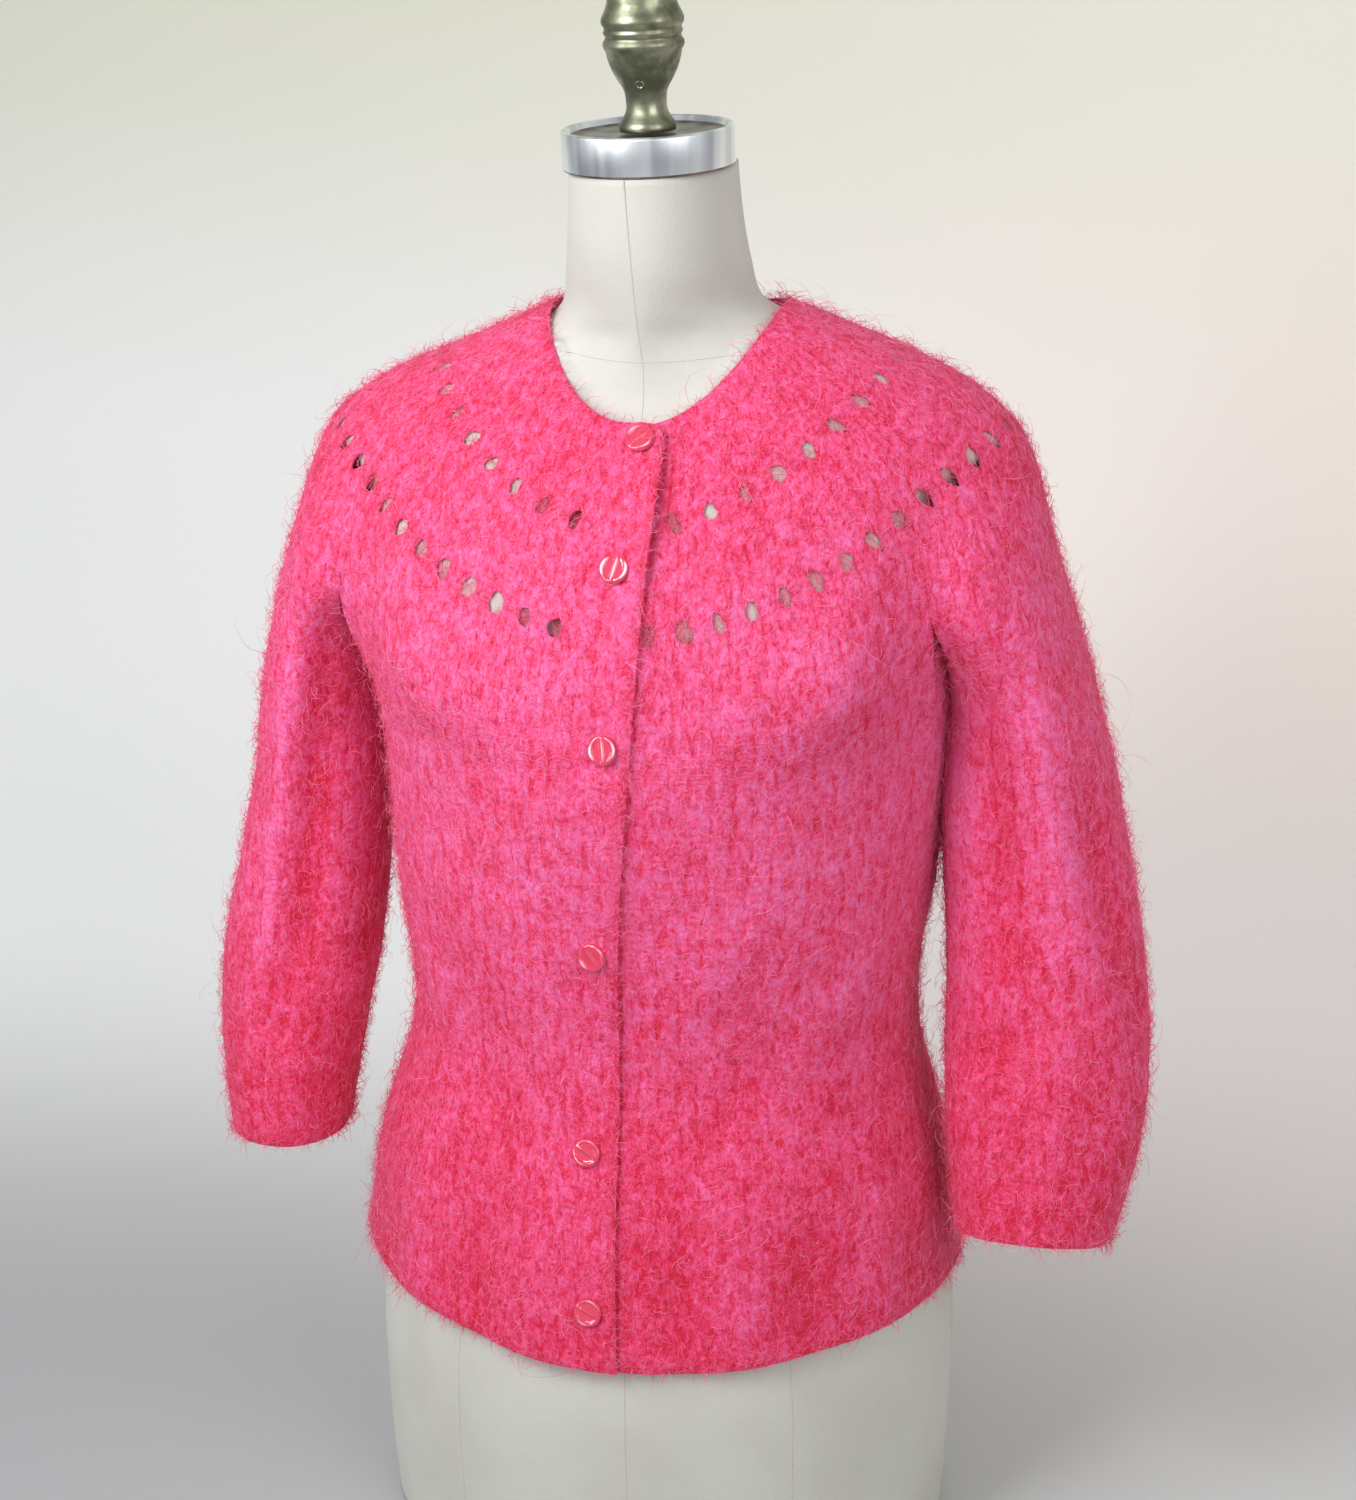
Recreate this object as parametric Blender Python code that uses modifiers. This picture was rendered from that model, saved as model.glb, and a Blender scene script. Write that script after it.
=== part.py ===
"""Mohair cardigan with a round yoke, buttoned on a limbless dress form.

Metres, +Z up. The form's flat underside is at z = 0 and its upright axis is the Z axis.
The front faces -Y, so +X is the wearer's left and the viewer's right.

The knitted cloth is worked out as one skin. Closed guide loops run round the garment, and a
smooth column of knitting runs through the loops from the neckline to the hem or to a cuff.
Each knitted piece takes its own rows and columns of that skin and thickens them inwards, so
that neighbours meet edge to edge with a seam gap.
"""

import math
from collections import namedtuple

import bmesh
import bpy
import numpy as np
from mathutils import Vector
from mathutils.kdtree import KDTree

# Start from an empty file
for thing in list(bpy.data.objects):
    bpy.data.objects.remove(thing, do_unlink=True)

MILLIMETRE = 0.001

# Cloth
WALL = 0.0035
SEAM = 0.0003
BAND_WIDTH = 0.032
LAP = WALL + SEAM
LAP_RUN = 0.055

# Columns of the skin, counted on the yoke's lower edge between the two bands
YOKE_COLUMNS = 108
FRONT_COLUMNS = 17
ARM_COLUMNS = 21
UNDERARM_COLUMNS = 6
BAND_COLUMNS = 3

# Rows of the skin, as places between the guide loops (1.5 is halfway from loop 1 to loop 2)
YOKE_ROWS = [0.0, 0.7, 1.35, 1.84, 2.0, 2.16, 2.75, 3.35, 3.85, 4.0, 4.1, 4.55, 5.0]
BODY_ROWS = [0.0, 0.22, 0.55, 1.0, 1.5, 2.0, 2.5, 3.0, 3.5, 4.0, 4.5, 5.0]
SLEEVE_ROWS = [0.0, 0.22, 0.55, 1.0, 1.5, 2.0, 2.5, 3.0, 3.5, 4.0, 4.5, 5.0]

# Rings of eyelets: each hole is two rows high about its middle row, in one of every so many
# columns, and its sides are drawn together, more at its ends than at its middle
Eyelets = namedtuple("Eyelets", "middle_row every first ends middle")
EYELETS = [
    Eyelets(middle_row=4, every=3, first=1, ends=0.0012, middle=-0.0003),
    Eyelets(middle_row=9, every=2, first=0, ends=0.0024, middle=0.0011),
]

# Guide loops of the yoke, neckline first. A loop reaches left and right as far as its widths,
# at side_y, and the wearer's right shoulder sits a little lower and closer in.
YokeLoop = namedtuple(
    "YokeLoop", "left left_z right right_z side_y front_y front_z back_y back_z squareness pinch"
)
YOKE_LOOPS = [
    YokeLoop(0.0700, 0.757, 0.0600, 0.755, -0.006, -0.0840, 0.7010, 0.0480, 0.748, 2.15, 0.000),
    YokeLoop(0.1025, 0.745, 0.0910, 0.741, -0.006, -0.0990, 0.6795, 0.0680, 0.732, 2.05, 0.000),
    YokeLoop(0.1350, 0.732, 0.1235, 0.727, -0.004, -0.1120, 0.6520, 0.0850, 0.706, 2.04, 0.000),
    YokeLoop(0.1670, 0.717, 0.1590, 0.712, -0.003, -0.1230, 0.6260, 0.0980, 0.674, 1.95, 0.000),
    YokeLoop(0.1940, 0.695, 0.1880, 0.690, -0.003, -0.1310, 0.5970, 0.1060, 0.637, 1.90, 0.005),
    YokeLoop(0.2230, 0.618, 0.2185, 0.614, -0.004, -0.1370, 0.5480, 0.1080, 0.590, 2.35, 0.028),
]

# The lower edge of the yoke rises to the armpits, where chest and sleeve meet in a crease
ARMPIT_X = 0.158
ARMPIT_RUN = 0.026
ARMPIT_RISE = 0.020
BACK_PINCH = 0.5
ARMPIT_LEAN = 1.6
Armpit = namedtuple("Armpit", "sleeve side body_column step_under_arm sleeve_column")

# The underarm joins a sleeve to the body between its two armpits
UNDERARM_REACH = 0.007
UNDERARM_DROP = 0.014

# Guide loops of the body below the yoke, level but for the hem
BodyLoop = namedtuple("BodyLoop", "height left right side_y front back squareness")
BODY_LOOPS = [
    BodyLoop(0.520, 0.1600, 0.1620, -0.008, -0.1390, 0.1000, 2.25),
    BodyLoop(0.425, 0.1560, 0.1580, -0.008, -0.1310, 0.0890, 2.25),
    BodyLoop(0.335, 0.1530, 0.1520, -0.008, -0.1240, 0.0830, 2.25),
    BodyLoop(0.250, 0.1740, 0.1770, -0.008, -0.1460, 0.1080, 2.15),
    BodyLoop(0.184, 0.1840, 0.1880, -0.008, -0.1640, 0.1270, 2.05),
]
HEM_FRONT_DROP = 0.011

# Guide loops of each sleeve below the yoke, level, as distances out from the body's axis
SleeveLoop = namedtuple("SleeveLoop", "height inner outer front back squareness")
RIGHT_SLEEVE_LOOPS = [
    SleeveLoop(0.548, 0.1690, 0.2355, -0.0660, 0.0540, 2.2),
    SleeveLoop(0.470, 0.1700, 0.2490, -0.0620, 0.0440, 2.2),
    SleeveLoop(0.375, 0.1755, 0.2715, -0.0660, 0.0260, 2.2),
    SleeveLoop(0.300, 0.1890, 0.2740, -0.0760, 0.0140, 2.2),
    SleeveLoop(0.243, 0.1985, 0.2680, -0.0810, 0.0050, 2.2),
]
RIGHT_CUFF_RISE = 0.005
LEFT_SLEEVE_LOOPS = [
    SleeveLoop(0.548, 0.1700, 0.2460, -0.0660, 0.0540, 2.2),
    SleeveLoop(0.460, 0.1700, 0.2690, -0.0640, 0.0400, 2.2),
    SleeveLoop(0.375, 0.1710, 0.2850, -0.0740, 0.0200, 2.2),
    SleeveLoop(0.305, 0.1735, 0.2880, -0.0860, 0.0060, 2.2),
    SleeveLoop(0.227, 0.1830, 0.2730, -0.0980, -0.0120, 2.2),
]
LEFT_CUFF_RISE = 0.015

# The buttoned edge hangs a little to the wearer's right on its way down
FrontLine = namedtuple("FrontLine", "height x")
FRONT_LINE = [
    FrontLine(0.165, -0.012),
    FrontLine(0.300, -0.018),
    FrontLine(0.415, -0.016),
    FrontLine(0.535, -0.006),
    FrontLine(0.635, 0.001),
    FrontLine(0.710, 0.0065),
]

# Buttons, by height on the front line
BUTTON_HEIGHTS = [0.693, 0.634, 0.536, 0.415, 0.294, 0.206]
BUTTON_RADIUS = 0.0082
BUTTON_SIDES = 16
BUTTON_LIFT = 0.0006

# A button's outline from the middle of its face to its back: share of the radius, height in mm
BUTTON_PROFILE = [
    (0.00, 1.0), (0.38, 1.4), (0.72, 1.9), (0.92, 2.9), (1.00, 2.2), (1.00, 1.1), (0.86, 0.0),
    (0.00, 0.0),
]

# Sections of the dress form, floor first. The shoulders carry the yoke, and like the neck they
# rise a little towards the wearer's left, by lean metres for each metre across.
FormLoop = namedtuple("FormLoop", "height half_width side_y front back squareness lean")
FORM_LOOPS = [
    FormLoop(0.000, 0.1760, -0.008, -0.1500, 0.1120, 2.20, 0.000),
    FormLoop(0.060, 0.1790, -0.008, -0.1540, 0.1170, 2.20, 0.000),
    FormLoop(0.175, 0.1765, -0.008, -0.1540, 0.1180, 2.10, 0.000),
    FormLoop(0.250, 0.1580, -0.008, -0.1330, 0.0960, 2.20, 0.000),
    FormLoop(0.335, 0.1380, -0.008, -0.1090, 0.0700, 2.20, 0.000),
    FormLoop(0.425, 0.1440, -0.008, -0.1170, 0.0780, 2.20, 0.000),
    FormLoop(0.520, 0.1490, -0.006, -0.1280, 0.0890, 2.20, 0.000),
    FormLoop(0.590, 0.1460, -0.004, -0.1200, 0.0950, 2.20, 0.010),
    FormLoop(0.643, 0.1600, -0.002, -0.1070, 0.0910, 2.20, 0.025),
    FormLoop(0.674, 0.1700, 0.000, -0.0945, 0.0820, 2.10, 0.035),
    FormLoop(0.697, 0.1690, 0.000, -0.0815, 0.0730, 2.00, 0.045),
    FormLoop(0.714, 0.1490, 0.000, -0.0712, 0.0635, 1.85, 0.045),
    FormLoop(0.729, 0.1180, 0.000, -0.0684, 0.0530, 1.42, 0.045),
    FormLoop(0.743, 0.0865, 0.000, -0.0690, 0.0420, 1.28, 0.045),
    FormLoop(0.756, 0.0560, -0.002, -0.0705, 0.0310, 1.70, 0.045),
    FormLoop(0.777, 0.0503, -0.008, -0.0730, 0.0230, 2.00, 0.040),
    FormLoop(0.829, 0.0452, -0.020, -0.0775, 0.0135, 2.00, 0.026),
]
FORM_COLUMNS = 32
FORM_ROW_STEP = 0.5

# Neck cap: a metal band, and a turned finial on it
NECK_Y = -0.032
RING_BOTTOM = 0.8293
RING_TILT_FORWARD = math.radians(4.0)
RING_TILT_SIDEWAYS = math.radians(-1.5)
RING_PROFILE = [
    (0.0000, 0.0183), (0.0300, 0.0183), (0.0405, 0.0180), (0.0425, 0.0202), (0.0450, 0.0205),
    (0.0460, 0.0195), (0.0460, 0.0010), (0.0450, 0.0000), (0.0000, 0.0000),
]
RING_SIDES = 32
FINIAL_RISE = 0.0186
FINIAL_PROFILE = [
    (0.0000, 0.0900), (0.0075, 0.0880), (0.0130, 0.0835), (0.0160, 0.0770), (0.0174, 0.0695),
    (0.0190, 0.0620), (0.0212, 0.0580), (0.0217, 0.0550), (0.0208, 0.0525), (0.0198, 0.0500),
    (0.0198, 0.0475), (0.0212, 0.0455), (0.0214, 0.0430), (0.0200, 0.0405), (0.0188, 0.0350),
    (0.0160, 0.0285), (0.0125, 0.0235), (0.0108, 0.0190), (0.0106, 0.0120), (0.0125, 0.0070),
    (0.0148, 0.0040), (0.0148, 0.0000), (0.0000, 0.0000),
]
FINIAL_SIDES = 18

# The material of each kind of piece
Finish = namedtuple("Finish", "name colour roughness metallic")
MOHAIR = Finish("mohair", (0.72, 0.075, 0.125, 1.0), 0.9, 0.0)
CANVAS = Finish("form_canvas", (0.72, 0.64, 0.50, 1.0), 0.85, 0.0)
BUTTON_PLASTIC = Finish("button_plastic", (0.75, 0.10, 0.12, 1.0), 0.15, 0.0)
BRIGHT_METAL = Finish("bright_metal", (0.66, 0.68, 0.70, 1.0), 0.3, 1.0)
AGED_BRASS = Finish("aged_brass", (0.22, 0.16, 0.075, 1.0), 0.5, 1.0)
SHARP_ANGLE = math.radians(40.0)

# Points round a guide loop before its columns are spaced out
SAMPLES = 720

# Points closer than this are one point
MERGE_DISTANCE = 0.00001

# Two rims that face each other across a seam are split along the same diagonals, which are
# picked by how far their corners reach in this direction
RIM_SPLIT = Vector((0.33, 0.51, 0.79))

collection = bpy.data.collections.new("mohair_cardigan")
bpy.context.scene.collection.children.link(collection)


def material(finish):
    """A plain material of one finish."""
    made = bpy.data.materials.new(finish.name)
    made.use_nodes = True
    shader = made.node_tree.nodes["Principled BSDF"]
    shader.inputs["Base Color"].default_value = finish.colour
    shader.inputs["Roughness"].default_value = finish.roughness
    shader.inputs["Metallic"].default_value = finish.metallic
    made.diffuse_color = finish.colour
    return made


def add_object(name, mesh, look):
    """Put a mesh in the part's collection under its node's name."""
    made = bpy.data.objects.new(name, mesh)
    collection.objects.link(made)
    mesh.materials.append(look)
    mesh.shade_smooth()
    mesh.set_sharp_from_angle(angle=SHARP_ANGLE)
    return made


# Loops and columns


def signed_power(value, power):
    """Raise the size of a value to a power and keep its sign."""
    return np.sign(value) * np.abs(value) ** power


def turns():
    """Angles once round a loop: the front, the wearer's left, the back, the right."""
    return np.linspace(0.0, 2.0 * math.pi, SAMPLES, endpoint=False)


def plan(left, right, side_y, front, back, squareness):
    """X and Y round a closed loop that may reach further on one side than on the other."""
    angle = turns()
    across = signed_power(np.sin(angle), 2.0 / squareness)
    x = np.where(across > 0.0, left, right) * across
    depth = signed_power(np.cos(angle), 2.0 / squareness)
    y = side_y + np.where(depth > 0.0, (front - side_y) * depth, (side_y - back) * depth)
    return x, y


def yoke_loop(row):
    """One guide loop of the yoke, with its creases at the armpits."""
    x, y = plan(row.left, row.right, row.side_y, row.front_y, row.back_y, row.squareness)
    forward = np.cos(turns())
    side_z = np.where(x > 0.0, row.left_z, row.right_z)
    z = side_z + np.where(forward > 0.0, row.front_z - side_z, row.back_z - side_z) * forward**2
    near = np.exp(-(((np.abs(x) - ARMPIT_X) / ARMPIT_RUN) ** 2))
    share = row.pinch / YOKE_LOOPS[-1].pinch
    y = y + np.where(y < row.side_y, row.pinch, -BACK_PINCH * row.pinch) * near
    z = z + ARMPIT_RISE * share * near
    return np.column_stack([x, y, z])


def body_loop(row):
    """One level guide loop of the body."""
    x, y = plan(row.left, row.right, row.side_y, row.front, row.back, row.squareness)
    return np.column_stack([x, y, np.full(SAMPLES, row.height)])


def form_loop(row):
    """One section of the dress form."""
    width = row.half_width
    x, y = plan(width, width, row.side_y, row.front, row.back, row.squareness)
    return np.column_stack([x, y, row.height + row.lean * x])


def hem_loop(row):
    """The lowest body loop, which dips in front."""
    loop = body_loop(row)
    loop[:, 2] -= HEM_FRONT_DROP * np.maximum(np.cos(turns()), 0.0) ** 4
    return loop


def sleeve_loop(row, side):
    """One level guide loop of a sleeve, from its innermost point round by the front."""
    angle = turns()
    power = 2.0 / row.squareness
    middle_x = 0.5 * (row.inner + row.outer)
    middle_y = 0.5 * (row.front + row.back)
    x = middle_x - 0.5 * (row.outer - row.inner) * signed_power(np.cos(angle), power)
    y = middle_y - 0.5 * (row.back - row.front) * signed_power(np.sin(angle), power)
    return np.column_stack([side * x, y, np.full(SAMPLES, row.height)])


def lengths_round(loop):
    """Distance round a closed loop at each of its points, and once more at its start."""
    closed = np.vstack([loop, loop[:1]])
    steps = np.linalg.norm(np.diff(closed, axis=0), axis=1)
    return closed, np.concatenate([[0.0], np.cumsum(steps)])


def raise_cuff(loop, rise):
    """Lift the front of a sleeve's lowest loop."""
    forward = np.maximum(np.sin(turns()), 0.0)
    loop[:, 2] += rise * forward
    return loop


def walk(loop, distances):
    """Points at given distances round a closed loop."""
    closed, lengths = lengths_round(loop)
    where = np.mod(distances, lengths[-1])
    return np.column_stack([np.interp(where, lengths, closed[:, axis]) for axis in range(3)])


def front_line(height):
    """X of the buttoned edge's middle at a height."""
    heights = [row.height for row in FRONT_LINE]
    return np.interp(height, heights, [row.x for row in FRONT_LINE])


def band_start(loop):
    """Distance round a loop at which it crosses the front line."""
    _, lengths = lengths_round(loop)
    near = SAMPLES // 8
    x = np.concatenate([loop[-near:, 0], loop[:near, 0]])
    z = np.concatenate([loop[-near:, 2], loop[:near, 2]])
    where = np.concatenate([lengths[-near - 1:-1] - lengths[-1], lengths[:near]])
    return float(np.interp(0.0, x - front_line(z), where))


def round_yoke(loop):
    """Points of a yoke loop, evenly from the left band round the back to the right band."""
    total = lengths_round(loop)[1][-1]
    start = band_start(loop)
    edge = BAND_WIDTH / 2.0
    return walk(loop, np.linspace(start + edge, start + total - edge, YOKE_COLUMNS + 1))


def across_band(loop):
    """Points of a loop across the band, from its edge on the wearer's right."""
    start = band_start(loop)
    edge = BAND_WIDTH / 2.0
    return walk(loop, np.linspace(start - edge, start + edge, BAND_COLUMNS + 1))


SIDE_COLUMNS = FRONT_COLUMNS + UNDERARM_COLUMNS // 2
BACK_FIRST = FRONT_COLUMNS + ARM_COLUMNS
BACK_LAST = YOKE_COLUMNS - BACK_FIRST
BACK_COLUMNS = BACK_LAST - BACK_FIRST + UNDERARM_COLUMNS


def round_body(loop):
    """Points of a body loop, from the left band round the back to the right band."""
    lengths = lengths_round(loop)[1]
    start = band_start(loop)
    edge = BAND_WIDTH / 2.0
    left = lengths[SAMPLES // 4]
    right = lengths[3 * SAMPLES // 4]
    places = np.concatenate([
        np.linspace(start + edge, left, SIDE_COLUMNS + 1),
        np.linspace(left, right, BACK_COLUMNS + 1)[1:],
        np.linspace(right, start + lengths[-1] - edge, SIDE_COLUMNS + 1)[1:],
    ])
    return walk(loop, places)


def round_sleeve(loop):
    """Points of a sleeve loop, closed, from its innermost point round by the front."""
    total = lengths_round(loop)[1][-1]
    count = ARM_COLUMNS + UNDERARM_COLUMNS
    return walk(loop, np.linspace(0.0, total, count + 1)[:-1])


def smooth_rows(guides, places):
    """Points of every column at the given places between its guide points."""
    guides = np.asarray(guides)
    gaps = np.linalg.norm(np.diff(guides, axis=0), axis=2)[:, :, None]
    slopes = np.diff(guides, axis=0) / gaps
    inner = (gaps[1:] * slopes[:-1] + gaps[:-1] * slopes[1:]) / (gaps[1:] + gaps[:-1])
    first = 1.5 * slopes[:1] - 0.5 * inner[:1]
    last = 1.5 * slopes[-1:] - 0.5 * inner[-1:]
    tangents = np.concatenate([first, inner, last])
    rows = []
    for place in places:
        span = min(int(place), len(gaps) - 1)
        t = place - span
        rows.append(
            (2 * t**3 - 3 * t**2 + 1) * guides[span]
            + (t**3 - 2 * t**2 + t) * gaps[span] * tangents[span]
            + (3 * t**2 - 2 * t**3) * guides[span + 1]
            + (t**3 - t**2) * gaps[span] * tangents[span + 1]
        )
    return np.array(rows)


def underarm(front, back, side):
    """Points between the two armpits of a side, the armpits left out."""
    share = np.linspace(0.0, 1.0, UNDERARM_COLUMNS + 1)[1:-1, None]
    sag = np.sin(math.pi * share)
    middle = front + (back - front) * share
    return middle + sag * np.array([side * UNDERARM_REACH, 0.0, -UNDERARM_DROP])


def cloth_skin():
    """The grids of the whole skin, as rows by columns of points."""
    yoke_guides = [round_yoke(yoke_loop(row)) for row in YOKE_LOOPS]
    edge = yoke_guides[-1]
    fronts = {1: edge[FRONT_COLUMNS], -1: edge[YOKE_COLUMNS - FRONT_COLUMNS]}
    backs = {1: edge[BACK_FIRST], -1: edge[BACK_LAST]}
    graft = {side: underarm(fronts[side], backs[side], side) for side in (1, -1)}

    # The body's top loop takes the yoke's edge in front and behind and the underarms between
    top = np.vstack([
        edge[:FRONT_COLUMNS + 1], graft[1],
        edge[BACK_FIRST:BACK_LAST + 1], graft[-1][::-1],
        edge[YOKE_COLUMNS - FRONT_COLUMNS:],
    ])
    loops = [body_loop(row) for row in BODY_LOOPS[:-1]] + [hem_loop(BODY_LOOPS[-1])]
    body_guides = [top] + [round_body(loop) for loop in loops]

    # A sleeve's top loop starts in the middle of its underarm and goes round by the front
    half = UNDERARM_COLUMNS // 2
    tables = {1: LEFT_SLEEVE_LOOPS, -1: RIGHT_SLEEVE_LOOPS}
    sleeve_guides = {}
    for side in (1, -1):
        if side == 1:
            arm = edge[FRONT_COLUMNS:BACK_FIRST + 1]
        else:
            arm = edge[BACK_LAST:YOKE_COLUMNS - FRONT_COLUMNS + 1][::-1]
        inner = graft[side]
        top_loop = np.vstack([inner[half - 1::-1], arm, inner[:half - 1:-1]])
        lower_loops = [sleeve_loop(row, side) for row in tables[side]]
        raise_cuff(lower_loops[-1], LEFT_CUFF_RISE if side == 1 else RIGHT_CUFF_RISE)
        lower = [round_sleeve(loop) for loop in lower_loops]
        sleeve_guides[side] = [top_loop] + lower

    # The neighbour loop across each seam steers the columns, so that they cross it smoothly
    below = np.empty_like(edge)
    first_body = body_guides[1]
    below[:FRONT_COLUMNS + 1] = first_body[:FRONT_COLUMNS + 1]
    behind = FRONT_COLUMNS + UNDERARM_COLUMNS
    below[BACK_FIRST:BACK_LAST + 1] = first_body[behind:behind + BACK_LAST - BACK_FIRST + 1]
    below[YOKE_COLUMNS - FRONT_COLUMNS:] = first_body[-FRONT_COLUMNS - 1:]
    for side in (1, -1):
        arm = sleeve_guides[side][1][half + 1:half + ARM_COLUMNS]
        if side == 1:
            below[FRONT_COLUMNS + 1:BACK_FIRST] = arm
        else:
            below[BACK_LAST + 1:YOKE_COLUMNS - FRONT_COLUMNS] = arm[::-1]
    skin = {"yoke": smooth_rows(yoke_guides + [below], YOKE_ROWS)}

    before = yoke_guides[-2]
    body_before = np.vstack([
        before[:FRONT_COLUMNS + 1],
        sleeve_guides[1][1][half - 1::-1], sleeve_guides[1][1][:ARM_COLUMNS + half:-1],
        before[BACK_FIRST:BACK_LAST + 1],
        sleeve_guides[-1][1][ARM_COLUMNS + half + 1:], sleeve_guides[-1][1][:half],
        before[YOKE_COLUMNS - FRONT_COLUMNS:],
    ])
    skin["body"] = smooth_rows([body_before] + body_guides, [row + 1.0 for row in BODY_ROWS])
    for side, name in ((1, "left_sleeve"), (-1, "right_sleeve")):
        first = sleeve_guides[side][1]
        side_first = first_body[SIDE_COLUMNS - half + 1:SIDE_COLUMNS + half]
        arm_before = before[FRONT_COLUMNS:BACK_FIRST + 1]
        if side == -1:
            count = len(first_body) - 1
            side_first = first_body[count - SIDE_COLUMNS - half + 1:count - SIDE_COLUMNS + half][::-1]
            arm_before = before[BACK_LAST:YOKE_COLUMNS - FRONT_COLUMNS + 1][::-1]
        above = np.vstack([side_first[half - 1::-1], arm_before, side_first[:half - 1:-1]])
        places = [row + 1.0 for row in SLEEVE_ROWS]
        skin[name] = smooth_rows([above] + sleeve_guides[side], places)

    # The band strip crosses every yoke and body loop at the front line
    band_loops = [yoke_loop(row) for row in YOKE_LOOPS] + loops
    band_guides = [across_band(loop) for loop in band_loops]
    seam = len(YOKE_LOOPS) - 1
    places = YOKE_ROWS + [seam + row for row in BODY_ROWS[1:]]
    skin["band"] = smooth_rows(band_guides, places)
    return skin


def share_band_edges(skin):
    """Make the band strip and its neighbours meet in the same points."""
    rows = len(YOKE_ROWS)
    skin["band"][:rows, -1] = skin["yoke"][:, 0]
    skin["band"][:rows, 0] = skin["yoke"][:, -1]
    skin["band"][rows - 1:, -1] = skin["body"][:, 0]
    skin["band"][rows - 1:, 0] = skin["body"][:, -1]


def armpits(skin):
    """The four armpits, by their places in the first rows of the body and of a sleeve."""
    last = skin["body"].shape[1] - 1
    behind = FRONT_COLUMNS + UNDERARM_COLUMNS
    half = UNDERARM_COLUMNS // 2
    return [
        Armpit("left_sleeve", 1, FRONT_COLUMNS, 1, half),
        Armpit("left_sleeve", 1, behind, -1, half + ARM_COLUMNS),
        Armpit("right_sleeve", -1, last - FRONT_COLUMNS, -1, half),
        Armpit("right_sleeve", -1, last - behind, 1, half + ARM_COLUMNS),
    ]


def part_armpits(skin):
    """Draw body and sleeve apart at each armpit, where their seam meets the yoke's edge."""
    for armpit in armpits(skin):
        sideways = np.array([armpit.side * SEAM / 2.0, 0.0, 0.0])
        skin["body"][0, armpit.body_column] -= sideways
        skin[armpit.sleeve][0, armpit.sleeve_column] += sideways


def narrow_eyelets(grid):
    """Draw the two columns beside each eyelet together."""
    for eyelets in EYELETS:
        for offset in (-1, 0, 1):
            row = eyelets.middle_row + offset
            narrowing = eyelets.ends if offset else eyelets.middle
            for column in range(eyelets.first, YOKE_COLUMNS, eyelets.every):
                across = grid[row, column + 1] - grid[row, column]
                across = across / np.linalg.norm(across)
                grid[row, column] += narrowing * across
                grid[row, column + 1] -= narrowing * across


def eyelet_cells():
    """The yoke's cells that are left open, as (row, column)."""
    cells = set()
    for eyelets in EYELETS:
        for column in range(eyelets.first, YOKE_COLUMNS, eyelets.every):
            cells.add((eyelets.middle_row - 1, column))
            cells.add((eyelets.middle_row, column))
    return cells


def add_grid(bm, points, closed=False, open_cells=()):
    """Faces over rows and columns of points, seen from outside the garment."""
    rows, columns = points.shape[:2]
    verts = [[bm.verts.new(point) for point in row] for row in points]
    for row in range(rows - 1):
        for column in range(columns if closed else columns - 1):
            if (row, column) in open_cells:
                continue
            right = (column + 1) % columns
            bm.faces.new([
                verts[row][column], verts[row + 1][column], verts[row + 1][right], verts[row][right],
            ])
    return verts


def skin_normals(skin):
    """A lookup of the smooth outward direction at every point of the skin."""
    bm = bmesh.new()
    add_grid(bm, skin["yoke"])
    add_grid(bm, skin["body"])
    add_grid(bm, skin["band"])
    add_grid(bm, skin["left_sleeve"], closed=True)
    add_grid(bm, skin["right_sleeve"][:, ::-1], closed=True)
    bmesh.ops.remove_doubles(bm, verts=bm.verts, dist=MERGE_DISTANCE)
    bm.normal_update()
    tree = KDTree(len(bm.verts))
    normals = []
    for vert in bm.verts:
        tree.insert(vert.co, len(normals))
        normals.append(np.array(vert.normal))
    tree.balance()
    bm.free()

    # At an armpit the wall leans towards the wall under the arm, or the two would cross there
    for armpit in armpits(skin):
        row = skin["body"][0]
        corner = tree.find(Vector(row[armpit.body_column]))[1]
        under = tree.find(Vector(row[armpit.body_column + armpit.step_under_arm]))[1]
        normals[corner] = unit(normals[corner] + ARMPIT_LEAN * normals[under])

    def outward(point):
        return normals[tree.find(Vector(point))[1]]

    return outward


def pull_in(grid, closed=False):
    """Move the border points of a grid half a seam gap inwards along the cloth."""
    moved = grid.copy()
    moved[0] += SEAM / 2.0 * unit(grid[1] - grid[0])
    moved[-1] += SEAM / 2.0 * unit(grid[-2] - grid[-1])
    if not closed:
        moved[:, 0] += SEAM / 2.0 * unit(grid[:, 1] - grid[:, 0])
        moved[:, -1] += SEAM / 2.0 * unit(grid[:, -2] - grid[:, -1])
    return moved


def unit(vectors):
    """The same directions, one metre long."""
    return vectors / np.linalg.norm(vectors, axis=-1, keepdims=True)


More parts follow.
